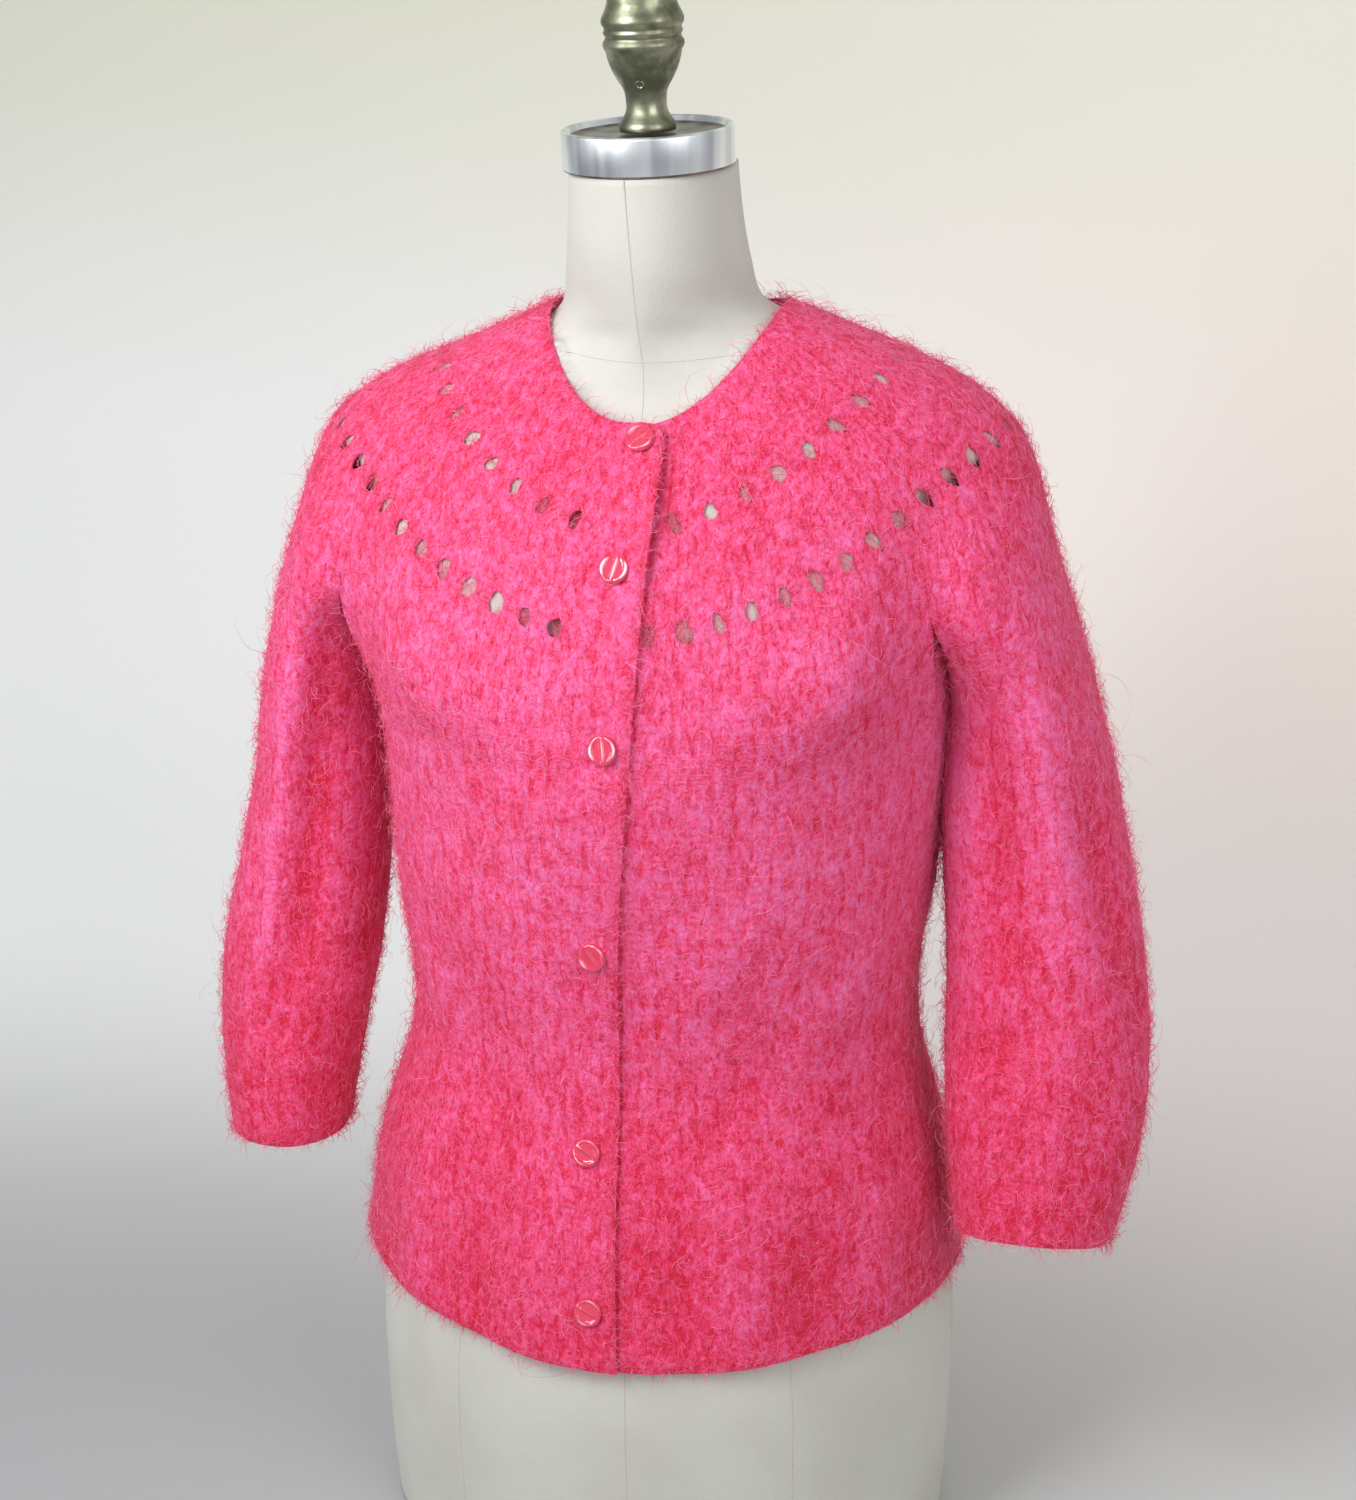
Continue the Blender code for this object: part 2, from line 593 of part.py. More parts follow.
def cloth_piece(name, grid, outward, look, lift=None, closed=False, open_cells=(), flip=False):
    """A knitted piece: its outer points, the same points moved in by the wall, and its rims."""
    directions = np.array([[outward(point) for point in row] for row in grid])
    lift = np.zeros(grid.shape[:2]) if lift is None else lift
    edge = pull_in(grid, closed)
    outer = edge + lift[:, :, None] * directions
    inner = edge + (lift[:, :, None] - WALL) * directions
    if flip:
        outer = outer[:, ::-1]
        inner = inner[:, ::-1]
    bm = bmesh.new()
    outer_verts = add_grid(bm, outer, closed, open_cells)
    skins = {}
    for row, points in zip(outer_verts, inner):
        for vert, point in zip(row, points):
            skins[vert] = bm.verts.new(point)
    faces = list(bm.faces)
    rims = [edge for edge in bm.edges if edge.is_boundary]
    for face in faces:
        bm.faces.new([skins[vert] for vert in reversed(face.verts)])
    for rim in rims:
        loop = rim.link_loops[0]
        a, b = loop.vert, loop.link_loop_next.vert
        if a.co.dot(RIM_SPLIT) > b.co.dot(RIM_SPLIT):
            bm.faces.new([b, a, skins[b]])
            bm.faces.new([a, skins[a], skins[b]])
        else:
            bm.faces.new([b, a, skins[a]])
            bm.faces.new([b, skins[a], skins[b]])
    loose = [vert for vert in bm.verts if not vert.link_faces]
    bmesh.ops.delete(bm, geom=loose, context="VERTS")
    mesh = bpy.data.meshes.new(name)
    bm.to_mesh(mesh)
    bm.free()
    return add_object(name, mesh, look)


def fade(distance):
    """One at a band's seam, falling smoothly to nothing where the lap has flattened out."""
    share = np.clip(1.0 - distance / LAP_RUN, 0.0, 1.0)
    return share * share * (3.0 - 2.0 * share)


def lap_lift(grid):
    """How far each point is raised, near the last column, whose band laps over the other."""
    steps = np.linalg.norm(np.diff(grid, axis=1), axis=2)
    distance = np.concatenate([np.zeros((len(grid), 1)), np.cumsum(steps, axis=1)], axis=1)
    return LAP * fade(distance[:, -1:] - distance)


def make_cloth(look):
    """Yoke, back, fronts, sleeves and bands."""
    skin = cloth_skin()
    share_band_edges(skin)
    outward = skin_normals(skin)
    part_armpits(skin)
    yoke = skin["yoke"]
    pierced = yoke.copy()
    narrow_eyelets(pierced)
    cells = eyelet_cells()
    cloth_piece("yoke", pierced, outward, look, lift=lap_lift(yoke), open_cells=cells)
    body = skin["body"]
    left_seam = SIDE_COLUMNS
    right_seam = SIDE_COLUMNS + BACK_COLUMNS
    right_front = body[:, right_seam:]
    cloth_piece("left_front", body[:, :left_seam + 1], outward, look)
    cloth_piece("back", body[:, left_seam:right_seam + 1], outward, look)
    cloth_piece("right_front", right_front, outward, look, lift=lap_lift(right_front))
    cloth_piece("left_sleeve", skin["left_sleeve"], outward, look, closed=True)
    cloth_piece("right_sleeve", skin["right_sleeve"], outward, look, closed=True, flip=True)
    band = skin["band"]
    cloth_piece("left_band", band, outward, look)
    cloth_piece("right_band", band, outward, look, lift=np.full(band.shape[:2], LAP))
    return band, outward


# Hard pieces


def turned(name, profile, sides, look):
    """A closed mesh turned about Z from (radius, height) pairs that start and end on the axis."""
    mesh = bpy.data.meshes.new(name)
    bm = bmesh.new()
    verts = [bm.verts.new((radius, 0.0, height)) for radius, height in profile]
    for a, b in zip(verts, verts[1:]):
        bm.edges.new((a, b))
    bm.to_mesh(mesh)
    bm.free()
    made = add_object(name, mesh, look)
    screw = made.modifiers.new("Turn", "SCREW")
    screw.steps = sides
    screw.render_steps = sides
    screw.use_merge_vertices = True
    screw.merge_threshold = MERGE_DISTANCE
    return made


def make_buttons(band, outward, look):
    """Six domed buttons on the upper band, each square to the cloth under it."""
    profile = [
        (BUTTON_RADIUS * share, MILLIMETRE * height) for share, height in BUTTON_PROFILE
    ]
    middle = 0.5 * (band[:, 1] + band[:, 2])
    first = None
    for number, height in enumerate(BUTTON_HEIGHTS, start=1):
        name = f"button_{number}"
        y = np.interp(-height, -middle[:, 2], middle[:, 1])
        x = np.interp(-height, -middle[:, 2], middle[:, 0])
        normal = Vector(outward((x, y, height)))
        if first is None:
            first = turned(name, profile, BUTTON_SIDES, look)
            made = first
        else:
            made = first.copy()
            made.name = name
            collection.objects.link(made)
        made.location = Vector((x, y, height)) + (LAP + BUTTON_LIFT) * normal
        made.rotation_euler = normal.to_track_quat("Z", "Y").to_euler()


def make_form(look):
    """The dress form: level loops from the flat underside to the top of the neck."""
    guides = []
    for row in FORM_LOOPS:
        loop = form_loop(row)
        total = lengths_round(loop)[1][-1]
        guides.append(walk(loop, np.linspace(0.0, total, FORM_COLUMNS + 1)[:-1]))
    places = np.arange(0.0, len(FORM_LOOPS) - 1 + FORM_ROW_STEP / 2.0, FORM_ROW_STEP)
    grid = smooth_rows(guides, places)[::-1]
    grid[-1, :, 2] = FORM_LOOPS[0].height
    grid[0, :, 2] = FORM_LOOPS[-1].height
    grid[0, :, 2] += math.tan(RING_TILT_FORWARD) * (grid[0, :, 1] - NECK_Y)
    grid[0, :, 2] -= math.tan(RING_TILT_SIDEWAYS) * grid[0, :, 0]
    bm = bmesh.new()
    verts = add_grid(bm, grid, closed=True)
    bm.faces.new(verts[0])
    bm.faces.new(reversed(verts[-1]))
    mesh = bpy.data.meshes.new("form_torso")
    bm.to_mesh(mesh)
    bm.free()
    add_object("form_torso", mesh, look)


def make_neck_cap(metal, brass):
    """The band round the top of the neck, and the finial that stands on it."""
    ring = turned("form_neck_ring", RING_PROFILE, RING_SIDES, metal)
    ring.location = (0.0, NECK_Y, RING_BOTTOM)
    ring.rotation_euler = (RING_TILT_FORWARD, RING_TILT_SIDEWAYS, 0.0)
    finial = turned("form_finial", FINIAL_PROFILE, FINIAL_SIDES, brass)
    finial.parent = ring
    finial.location = (0.0, 0.0, FINIAL_RISE)


band_strip, skin_direction = make_cloth(material(MOHAIR))
make_buttons(band_strip, skin_direction, material(BUTTON_PLASTIC))
make_form(material(CANVAS))
make_neck_cap(material(BRIGHT_METAL), material(AGED_BRASS))
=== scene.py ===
# %% [markdown]
# # A coral mohair cardigan on a dress form
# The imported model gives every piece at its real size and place. This lesson gives the pieces their
# looks: brushed knitting with a halo of long hairs, clear red buttons, canvas, and two metals.
# Lengths are in metres. The front faces -Y and +X is the wearer's left.

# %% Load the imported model
import math
from collections import namedtuple

import bmesh
import bpy
import numpy as np
from mathutils import Matrix, Vector, noise
from mathutils.bvhtree import BVHTree
from mathutils.kdtree import KDTree


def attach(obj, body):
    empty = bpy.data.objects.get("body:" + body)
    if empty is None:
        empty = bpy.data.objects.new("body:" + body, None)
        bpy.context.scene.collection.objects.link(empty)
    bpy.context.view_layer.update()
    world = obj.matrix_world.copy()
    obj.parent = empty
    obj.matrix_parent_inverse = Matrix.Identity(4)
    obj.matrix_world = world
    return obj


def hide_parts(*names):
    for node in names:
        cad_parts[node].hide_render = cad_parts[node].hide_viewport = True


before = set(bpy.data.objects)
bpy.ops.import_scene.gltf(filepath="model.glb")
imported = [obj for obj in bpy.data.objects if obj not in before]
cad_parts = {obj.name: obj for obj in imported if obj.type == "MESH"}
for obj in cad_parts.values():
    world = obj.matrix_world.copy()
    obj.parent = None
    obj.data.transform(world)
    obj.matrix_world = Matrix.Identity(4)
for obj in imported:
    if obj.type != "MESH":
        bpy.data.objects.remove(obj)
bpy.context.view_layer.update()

for name in ("Cube", "Light", "Camera"):
    if name in bpy.data.objects:
        bpy.data.objects.remove(bpy.data.objects[name], do_unlink=True)
print("pieces in the packed model:", len(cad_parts))

# %% [markdown]
# ## Camera
# The photograph was taken with a short telephoto lens from a little above the shoulders and a
# little to the wearer's left. A fixed camera with a small sideways shift gives the same framing.

# %% Camera
PHOTO_WIDTH = 1356
PHOTO_HEIGHT = 1500
FOCAL_PIXELS = 2335.0
SENSOR = 36.0
CAMERA_DISTANCE = 1.30
CAMERA_HEIGHT = 0.938
CAMERA_TURN = math.radians(12.2)
CAMERA_DIP = math.radians(18.95)
CAMERA_ROLL = math.radians(-0.45)
CENTRE_PIXEL_X = 667.0

camera_data = bpy.data.cameras.new("camera")
camera_data.sensor_width = SENSOR
camera_data.lens = FOCAL_PIXELS * SENSOR / PHOTO_HEIGHT
camera_data.shift_x = (PHOTO_WIDTH / 2.0 - CENTRE_PIXEL_X) / PHOTO_HEIGHT
camera = bpy.data.objects.new("camera", camera_data)
bpy.context.scene.collection.objects.link(camera)
turn = Matrix.Rotation(CAMERA_TURN, 4, "Z")
dip = Matrix.Rotation(math.pi / 2.0 - CAMERA_DIP, 4, "X")
roll = Matrix.Rotation(CAMERA_ROLL, 4, "Z")
spot = Vector((
    CAMERA_DISTANCE * math.sin(CAMERA_TURN), -CAMERA_DISTANCE * math.cos(CAMERA_TURN), CAMERA_HEIGHT,
))
camera.matrix_world = Matrix.Translation(spot) @ turn @ dip @ roll
bpy.context.scene.camera = camera
bpy.context.scene.view_settings.view_transform = "Standard"
print("camera lens:", round(camera_data.lens, 1), "mm")

# %% [markdown]
# ## Helpers for materials
# Every material here is a small tree of nodes. A few helpers, each for one kind of node or link,
# keep those trees short to read. A shared material file would be shorter still, but would hide
# how each finish is made.

# %% Node helpers
def add_node(tree, kind, **settings):
    """A shader node with its properties and unlinked inputs set."""
    node = tree.nodes.new(kind)
    for key, value in settings.items():
        if hasattr(node, key):
            setattr(node, key, value)
        else:
            node.inputs[key.replace("_", " ")].default_value = value
    return node


def new_material(name):
    """An empty node material with its output."""
    made = bpy.data.materials.new(name)
    made.use_nodes = True
    made.node_tree.nodes.clear()
    return made, made.node_tree, made.node_tree.nodes.new("ShaderNodeOutputMaterial")


def math_node(tree, operation, first, second=None, third=None):
    """The result of one sum; each input is a number or a socket."""
    node = tree.nodes.new("ShaderNodeMath")
    node.operation = operation
    for number, value in enumerate((first, second, third)):
        if value is None:
            continue
        if isinstance(value, (int, float)):
            node.inputs[number].default_value = value
        else:
            tree.links.new(value, node.inputs[number])
    return node.outputs[0]


def mix_colours(tree, factor, first, second):
    """Two colours mixed; each is four numbers or a socket."""
    node = tree.nodes.new("ShaderNodeMix")
    node.data_type = "RGBA"
    for socket, value in ((node.inputs[0], factor), (node.inputs[6], first), (node.inputs[7], second)):
        if isinstance(value, (int, float, tuple)):
            socket.default_value = value
        else:
            tree.links.new(value, socket)
    return node.outputs[2]


def ramp(tree, value, low, high, out_low=0.0, out_high=1.0):
    """A smooth step of a value from low to high."""
    node = tree.nodes.new("ShaderNodeMapRange")
    node.interpolation_type = "SMOOTHSTEP"
    tree.links.new(value, node.inputs[0])
    for number, setting in enumerate((low, high, out_low, out_high), start=1):
        node.inputs[number].default_value = setting
    return node.outputs[0]


def noise_on(tree, vector, scale, detail=3.0, stretch=(1.0, 1.0, 1.0), roughness=0.5, swirl=0.0):
    """A noise texture on scaled coordinates; swirl draws it out into curls."""
    mapping = add_node(tree, "ShaderNodeMapping")
    mapping.inputs["Scale"].default_value = stretch
    tree.links.new(vector, mapping.inputs["Vector"])
    node = add_node(
        tree, "ShaderNodeTexNoise", Scale=scale, Detail=detail, Roughness=roughness, Distortion=swirl
    )
    tree.links.new(mapping.outputs[0], node.inputs["Vector"])
    return node.outputs[0]


def principled(tree, colour, **settings):
    """A Principled shader coloured by a socket, with its other inputs set."""
    shader = add_node(tree, "ShaderNodeBsdfPrincipled", **settings)
    tree.links.new(colour, shader.inputs["Base Color"])
    return shader


def add_bump(tree, shader, height, strength, distance):
    """Small relief on a shader's surface."""
    bump = add_node(tree, "ShaderNodeBump", Strength=strength, Distance=distance)
    tree.links.new(height, bump.inputs["Height"])
    tree.links.new(bump.outputs[0], shader.inputs["Normal"])


def let_light_through(tree, shader, colour, share, output):
    """Mix some see-through glow of the same colour into a shader, and put the mix out."""
    through = add_node(tree, "ShaderNodeBsdfTranslucent")
    tree.links.new(colour, through.inputs["Color"])
    either = add_node(tree, "ShaderNodeMixShader", Fac=share)
    tree.links.new(shader.outputs[0], either.inputs[1])
    tree.links.new(through.outputs[0], either.inputs[2])
    tree.links.new(either.outputs[0], output.inputs[0])


print("helpers ready")

# %% [markdown]
# ## Backdrop
# The room is plain and pale, in daylight from the upper left. Two planes would show a corner, so a
# studio sweep is used: one sheet bent from floor to wall. Its colour is painted light and shade: it
# changes softly along the sheet and from left to right, darker on the floor and at the top, and
# lighter on the right, where the form's shadow falls. It is see-through from behind, so that a
# camera that walks round the form still sees the form.

# %% Backdrop
BackdropRow = namedtuple("BackdropRow", "low high left right")
# Painted light and shade: the sweep's colour by height, darker on the floor and lighter on the right, where
# the form's shadow falls.
BACKDROP_LIGHT_AND_SHADE_ROWS = [
    BackdropRow(0.00, 0.00, (0.37, 0.375, 0.39, 1.0), (0.60, 0.61, 0.61, 1.0)),
    BackdropRow(0.00, 0.70, (0.83, 0.85, 0.855, 1.0), (0.94, 0.90, 0.885, 1.0)),
    BackdropRow(0.70, 1.15, (0.87, 0.89, 0.875, 1.0), (0.95, 0.87, 0.80, 1.0)),
    BackdropRow(1.35, 1.85, (0.71, 0.725, 0.61, 1.0), (0.86, 0.87, 0.77, 1.0)),
]
WALL_Y = 0.90
SWEEP_RADIUS = 0.60
SWEEP_FRONT = -4.0
SWEEP_TOP = 3.2
SWEEP_HALF_WIDTH = 3.5

plaster, tree, output = new_material("plaster")
place = add_node(tree, "ShaderNodeTexCoord").outputs["Object"]
parts = add_node(tree, "ShaderNodeSeparateXYZ")
tree.links.new(place, parts.inputs[0])
grain = noise_on(tree, place, 60.0, 4.0)
rightwards = ramp(tree, parts.outputs["X"], -0.55, 0.75)
run = math_node(tree, "ADD", parts.outputs["Y"], parts.outputs["Z"])
colour = mix_colours(tree, rightwards, BACKDROP_LIGHT_AND_SHADE_ROWS[0].left, BACKDROP_LIGHT_AND_SHADE_ROWS[0].right)
for row in BACKDROP_LIGHT_AND_SHADE_ROWS[1:]:
    tone = mix_colours(tree, rightwards, row.left, row.right)
    colour = mix_colours(tree, ramp(tree, run, row.low, row.high), colour, tone)
shader = principled(tree, colour, Roughness=0.9)
add_bump(tree, shader, grain, 0.12, 0.002)
clear = add_node(tree, "ShaderNodeBsdfTransparent")
behind_wall = add_node(tree, "ShaderNodeNewGeometry").outputs["Backfacing"]
either = add_node(tree, "ShaderNodeMixShader")
tree.links.new(behind_wall, either.inputs[0])
tree.links.new(shader.outputs[0], either.inputs[1])
tree.links.new(clear.outputs[0], either.inputs[2])
tree.links.new(either.outputs[0], output.inputs[0])

floor_run = WALL_Y - SWEEP_RADIUS - SWEEP_FRONT
bend_run = SWEEP_RADIUS * math.pi / 2.0
wall_run = SWEEP_TOP - SWEEP_RADIUS
bm = bmesh.new()
bmesh.ops.create_grid(bm, x_segments=1, y_segments=90, size=1.0)
for vert in bm.verts:
    run = 0.5 * (vert.co.y + 1.0) * (floor_run + bend_run + wall_run)
    bend = min(max((run - floor_run) / SWEEP_RADIUS, 0.0), math.pi / 2.0)
    flat = min(run, floor_run)
    rise = max(run - floor_run - bend_run, 0.0)
    vert.co = (
        SWEEP_HALF_WIDTH * vert.co.x,
        SWEEP_FRONT + flat + SWEEP_RADIUS * math.sin(bend),
        SWEEP_RADIUS * (1.0 - math.cos(bend)) + rise,
    )
for face in bm.faces:
    face.smooth = True
mesh = bpy.data.meshes.new("sweep")
bm.to_mesh(mesh)
bm.free()
mesh.materials.append(plaster)
sweep = bpy.data.objects.new("sweep", mesh)
bpy.context.scene.collection.objects.link(sweep)
print("sweep faces up on the floor:", mesh.polygons[0].normal.z > 0.9)

# %% [markdown]
# ## Lamps
# The daylight comes from a window at the upper left. A large soft lamp gives its spread, a smaller
# one gives the narrower highlights of its panes, and a third, from the right, stands for the light
# that the room throws back. A pale world fills the rest.

# %% Lamps
def soft_lamp(name, place, aim, size, watts, colour):
    """A square area lamp aimed at a point."""
    data = bpy.data.lights.new(name, "AREA")
    data.size = size
    data.energy = watts
    data.color = colour
    lamp = bpy.data.objects.new(name, data)
    lamp.location = place
    lamp.rotation_euler = (Vector(aim) - Vector(place)).to_track_quat("-Z", "Y").to_euler()
    bpy.context.scene.collection.objects.link(lamp)
    return lamp


soft_lamp("window", (-0.80, -0.92, 1.18), (-0.03, 0.0, 0.58), 0.9, 11.5, (1.0, 1.0, 1.0))
soft_lamp("pane", (-0.50, -1.00, 1.32), (0.0, -0.1, 0.60), 0.38, 6.5, (0.97, 0.98, 1.0))
soft_lamp("bounce", (1.3, -1.3, 1.4), (0.0, 0.1, 0.7), 1.2, 13.0, (1.0, 0.99, 0.98))
world = bpy.data.worlds.new("room")
world.use_nodes = True
world.node_tree.nodes["Background"].inputs["Color"].default_value = (0.97, 0.98, 1.0, 1.0)
world.node_tree.nodes["Background"].inputs["Strength"].default_value = 0.50
bpy.context.scene.world = world
print("lamps placed")

# %% [markdown]
# ## Guide loops of the garment
# A knitted yoke cardigan is one curved skin. The model describes it with closed loops round the
# body, the yoke and each sleeve. The same loops are used here with three times as many columns,
# because a fine mesh can carry eyelets, folds and hair roots that the plain solids don't need.

# %% Sizes of the cloth
WALL = 0.0035
SEAM = 0.0003
BAND_WIDTH = 0.032
LAP = WALL + SEAM
LAP_RUN = 0.055
FINER = 3
YOKE_COLUMNS = 108 * FINER
FRONT_COLUMNS = 17 * FINER
ARM_COLUMNS = 21 * FINER
UNDERARM_COLUMNS = 6 * FINER
BAND_COLUMNS = 3 * FINER
SAMPLES = 720

YokeLoop = namedtuple(
    "YokeLoop", "left left_z right right_z side_y front_y front_z back_y back_z squareness pinch"
)
YOKE_LOOPS = [
    YokeLoop(0.0700, 0.757, 0.0600, 0.755, -0.006, -0.0840, 0.7010, 0.0480, 0.748, 2.15, 0.000),
    YokeLoop(0.1025, 0.745, 0.0910, 0.741, -0.006, -0.0990, 0.6795, 0.0680, 0.732, 2.05, 0.000),
    YokeLoop(0.1350, 0.732, 0.1235, 0.727, -0.004, -0.1120, 0.6520, 0.0850, 0.706, 2.04, 0.000),
    YokeLoop(0.1670, 0.717, 0.1590, 0.712, -0.003, -0.1230, 0.6260, 0.0980, 0.674, 1.95, 0.000),
    YokeLoop(0.1940, 0.695, 0.1880, 0.690, -0.003, -0.1310, 0.5970, 0.1060, 0.637, 1.90, 0.005),
    YokeLoop(0.2230, 0.618, 0.2185, 0.614, -0.004, -0.1370, 0.5480, 0.1080, 0.590, 2.35, 0.028),
]
ARMPIT_X = 0.158
ARMPIT_RUN = 0.026
ARMPIT_RISE = 0.020
BACK_PINCH = 0.5
UNDERARM_REACH = 0.007
UNDERARM_DROP = 0.014

BodyLoop = namedtuple("BodyLoop", "height left right side_y front back squareness")
BODY_LOOPS = [
    BodyLoop(0.520, 0.1600, 0.1620, -0.008, -0.1390, 0.1000, 2.25),
    BodyLoop(0.425, 0.1560, 0.1580, -0.008, -0.1310, 0.0890, 2.25),
    BodyLoop(0.335, 0.1530, 0.1520, -0.008, -0.1240, 0.0830, 2.25),
    BodyLoop(0.250, 0.1740, 0.1770, -0.008, -0.1460, 0.1080, 2.15),
    BodyLoop(0.184, 0.1840, 0.1880, -0.008, -0.1640, 0.1270, 2.05),
]
HEM_FRONT_DROP = 0.011

SleeveLoop = namedtuple("SleeveLoop", "height inner outer front back squareness")
RIGHT_SLEEVE_LOOPS = [
    SleeveLoop(0.548, 0.1690, 0.2355, -0.0660, 0.0540, 2.2),
    SleeveLoop(0.470, 0.1700, 0.2490, -0.0620, 0.0440, 2.2),
    SleeveLoop(0.375, 0.1755, 0.2715, -0.0660, 0.0260, 2.2),
    SleeveLoop(0.300, 0.1890, 0.2740, -0.0760, 0.0140, 2.2),
    SleeveLoop(0.243, 0.1985, 0.2680, -0.0810, 0.0050, 2.2),
]
RIGHT_CUFF_RISE = 0.005
LEFT_SLEEVE_LOOPS = [
    SleeveLoop(0.548, 0.1700, 0.2460, -0.0660, 0.0540, 2.2),
    SleeveLoop(0.460, 0.1700, 0.2690, -0.0640, 0.0400, 2.2),
    SleeveLoop(0.375, 0.1710, 0.2850, -0.0740, 0.0200, 2.2),
    SleeveLoop(0.305, 0.1735, 0.2880, -0.0860, 0.0060, 2.2),
    SleeveLoop(0.227, 0.1830, 0.2730, -0.0980, -0.0120, 2.2),
]
LEFT_CUFF_RISE = 0.015

FrontLine = namedtuple("FrontLine", "height x")
FRONT_LINE = [
    FrontLine(0.165, -0.012), FrontLine(0.300, -0.018), FrontLine(0.415, -0.016),
    FrontLine(0.535, -0.006), FrontLine(0.635, 0.001), FrontLine(0.710, 0.0065),
]
print("guide loops:", len(YOKE_LOOPS), "in the yoke,", len(BODY_LOOPS), "in the body")

# %% [markdown]
# ## From loops to a fine skin
# Every loop is a rounded oval. Walking the same share of each loop gives one column of knitting,
# and a smooth curve through a column's points gives as many rows as the mesh needs.

# %% Ovals and columns
def signed_power(value, power):
    """Raise the size of a value to a power and keep its sign."""
    return np.sign(value) * np.abs(value) ** power


def turns():
    """Angles once round a loop: the front, the wearer's left, the back, the right."""
    return np.linspace(0.0, 2.0 * math.pi, SAMPLES, endpoint=False)


def plan(left, right, side_y, front, back, squareness):
    """X and Y round a closed loop that may reach further on one side than on the other."""
    angle = turns()
    across = signed_power(np.sin(angle), 2.0 / squareness)
    x = np.where(across > 0.0, left, right) * across
    depth = signed_power(np.cos(angle), 2.0 / squareness)
    y = side_y + np.where(depth > 0.0, (front - side_y) * depth, (side_y - back) * depth)
    return x, y


def yoke_loop(row):
    """One guide loop of the yoke, with its creases at the armpits."""
    x, y = plan(row.left, row.right, row.side_y, row.front_y, row.back_y, row.squareness)
    forward = np.cos(turns())
    side_z = np.where(x > 0.0, row.left_z, row.right_z)
    z = side_z + np.where(forward > 0.0, row.front_z - side_z, row.back_z - side_z) * forward**2
    near = np.exp(-(((np.abs(x) - ARMPIT_X) / ARMPIT_RUN) ** 2))
    share = row.pinch / YOKE_LOOPS[-1].pinch
    y = y + np.where(y < row.side_y, row.pinch, -BACK_PINCH * row.pinch) * near
    return np.column_stack([x, y, z + ARMPIT_RISE * share * near])


def body_loop(row):
    """One level guide loop of the body."""
    x, y = plan(row.left, row.right, row.side_y, row.front, row.back, row.squareness)
    return np.column_stack([x, y, np.full(SAMPLES, row.height)])


def hem_loop(row):
    """The lowest body loop, which dips in front."""
    loop = body_loop(row)
    loop[:, 2] -= HEM_FRONT_DROP * np.maximum(np.cos(turns()), 0.0) ** 4
    return loop


def sleeve_loop(row, side):
    """One level guide loop of a sleeve, from its innermost point round by the front."""
    power = 2.0 / row.squareness
    middle_x = 0.5 * (row.inner + row.outer)
    middle_y = 0.5 * (row.front + row.back)
    x = middle_x - 0.5 * (row.outer - row.inner) * signed_power(np.cos(turns()), power)
    y = middle_y - 0.5 * (row.back - row.front) * signed_power(np.sin(turns()), power)
    return np.column_stack([side * x, y, np.full(SAMPLES, row.height)])


def raise_cuff(loop, rise):
    """Lift the front of a sleeve's lowest loop."""
    loop[:, 2] += rise * np.maximum(np.sin(turns()), 0.0)
    return loop


def lengths_round(loop):
    """A closed loop with its start repeated, and the distance round it at each point."""
    closed = np.vstack([loop, loop[:1]])
    steps = np.linalg.norm(np.diff(closed, axis=0), axis=1)
    return closed, np.concatenate([[0.0], np.cumsum(steps)])


def walk(loop, distances):
    """Points at given distances round a closed loop."""
    closed, lengths = lengths_round(loop)
    where = np.mod(distances, lengths[-1])
    return np.column_stack([np.interp(where, lengths, closed[:, axis]) for axis in range(3)])


def front_line(height):
    """X of the buttoned edge's middle at a height."""
    return np.interp(height, [row.height for row in FRONT_LINE], [row.x for row in FRONT_LINE])


def band_start(loop):
    """Distance round a loop at which it crosses the front line."""
    lengths = lengths_round(loop)[1]
    near = SAMPLES // 8
    x = np.concatenate([loop[-near:, 0], loop[:near, 0]])
    z = np.concatenate([loop[-near:, 2], loop[:near, 2]])
    where = np.concatenate([lengths[-near - 1:-1] - lengths[-1], lengths[:near]])
    return float(np.interp(0.0, x - front_line(z), where))


def round_yoke(loop):
    """Points of a yoke loop, evenly from the left band round the back to the right band."""
    total = lengths_round(loop)[1][-1]
    start = band_start(loop)
    edge = BAND_WIDTH / 2.0
    return walk(loop, np.linspace(start + edge, start + total - edge, YOKE_COLUMNS + 1))


def across_band(loop):
    """Points of a loop across the band, from its edge on the wearer's right."""
    start = band_start(loop)
    edge = BAND_WIDTH / 2.0
    return walk(loop, np.linspace(start - edge, start + edge, BAND_COLUMNS + 1))


SIDE_COLUMNS = FRONT_COLUMNS + UNDERARM_COLUMNS // 2
BACK_FIRST = FRONT_COLUMNS + ARM_COLUMNS
BACK_LAST = YOKE_COLUMNS - BACK_FIRST
BACK_COLUMNS = BACK_LAST - BACK_FIRST + UNDERARM_COLUMNS


def round_body(loop):
    """Points of a body loop, from the left band round the back to the right band."""
    lengths = lengths_round(loop)[1]
    start = band_start(loop)
    edge = BAND_WIDTH / 2.0
    left = lengths[SAMPLES // 4]
    right = lengths[3 * SAMPLES // 4]
    places = np.concatenate([
        np.linspace(start + edge, left, SIDE_COLUMNS + 1),
        np.linspace(left, right, BACK_COLUMNS + 1)[1:],
        np.linspace(right, start + lengths[-1] - edge, SIDE_COLUMNS + 1)[1:],
    ])
    return walk(loop, places)


def round_sleeve(loop):
    """Points of a sleeve loop, closed, from its innermost point round by the front."""
    total = lengths_round(loop)[1][-1]
    return walk(loop, np.linspace(0.0, total, ARM_COLUMNS + UNDERARM_COLUMNS + 1)[:-1])


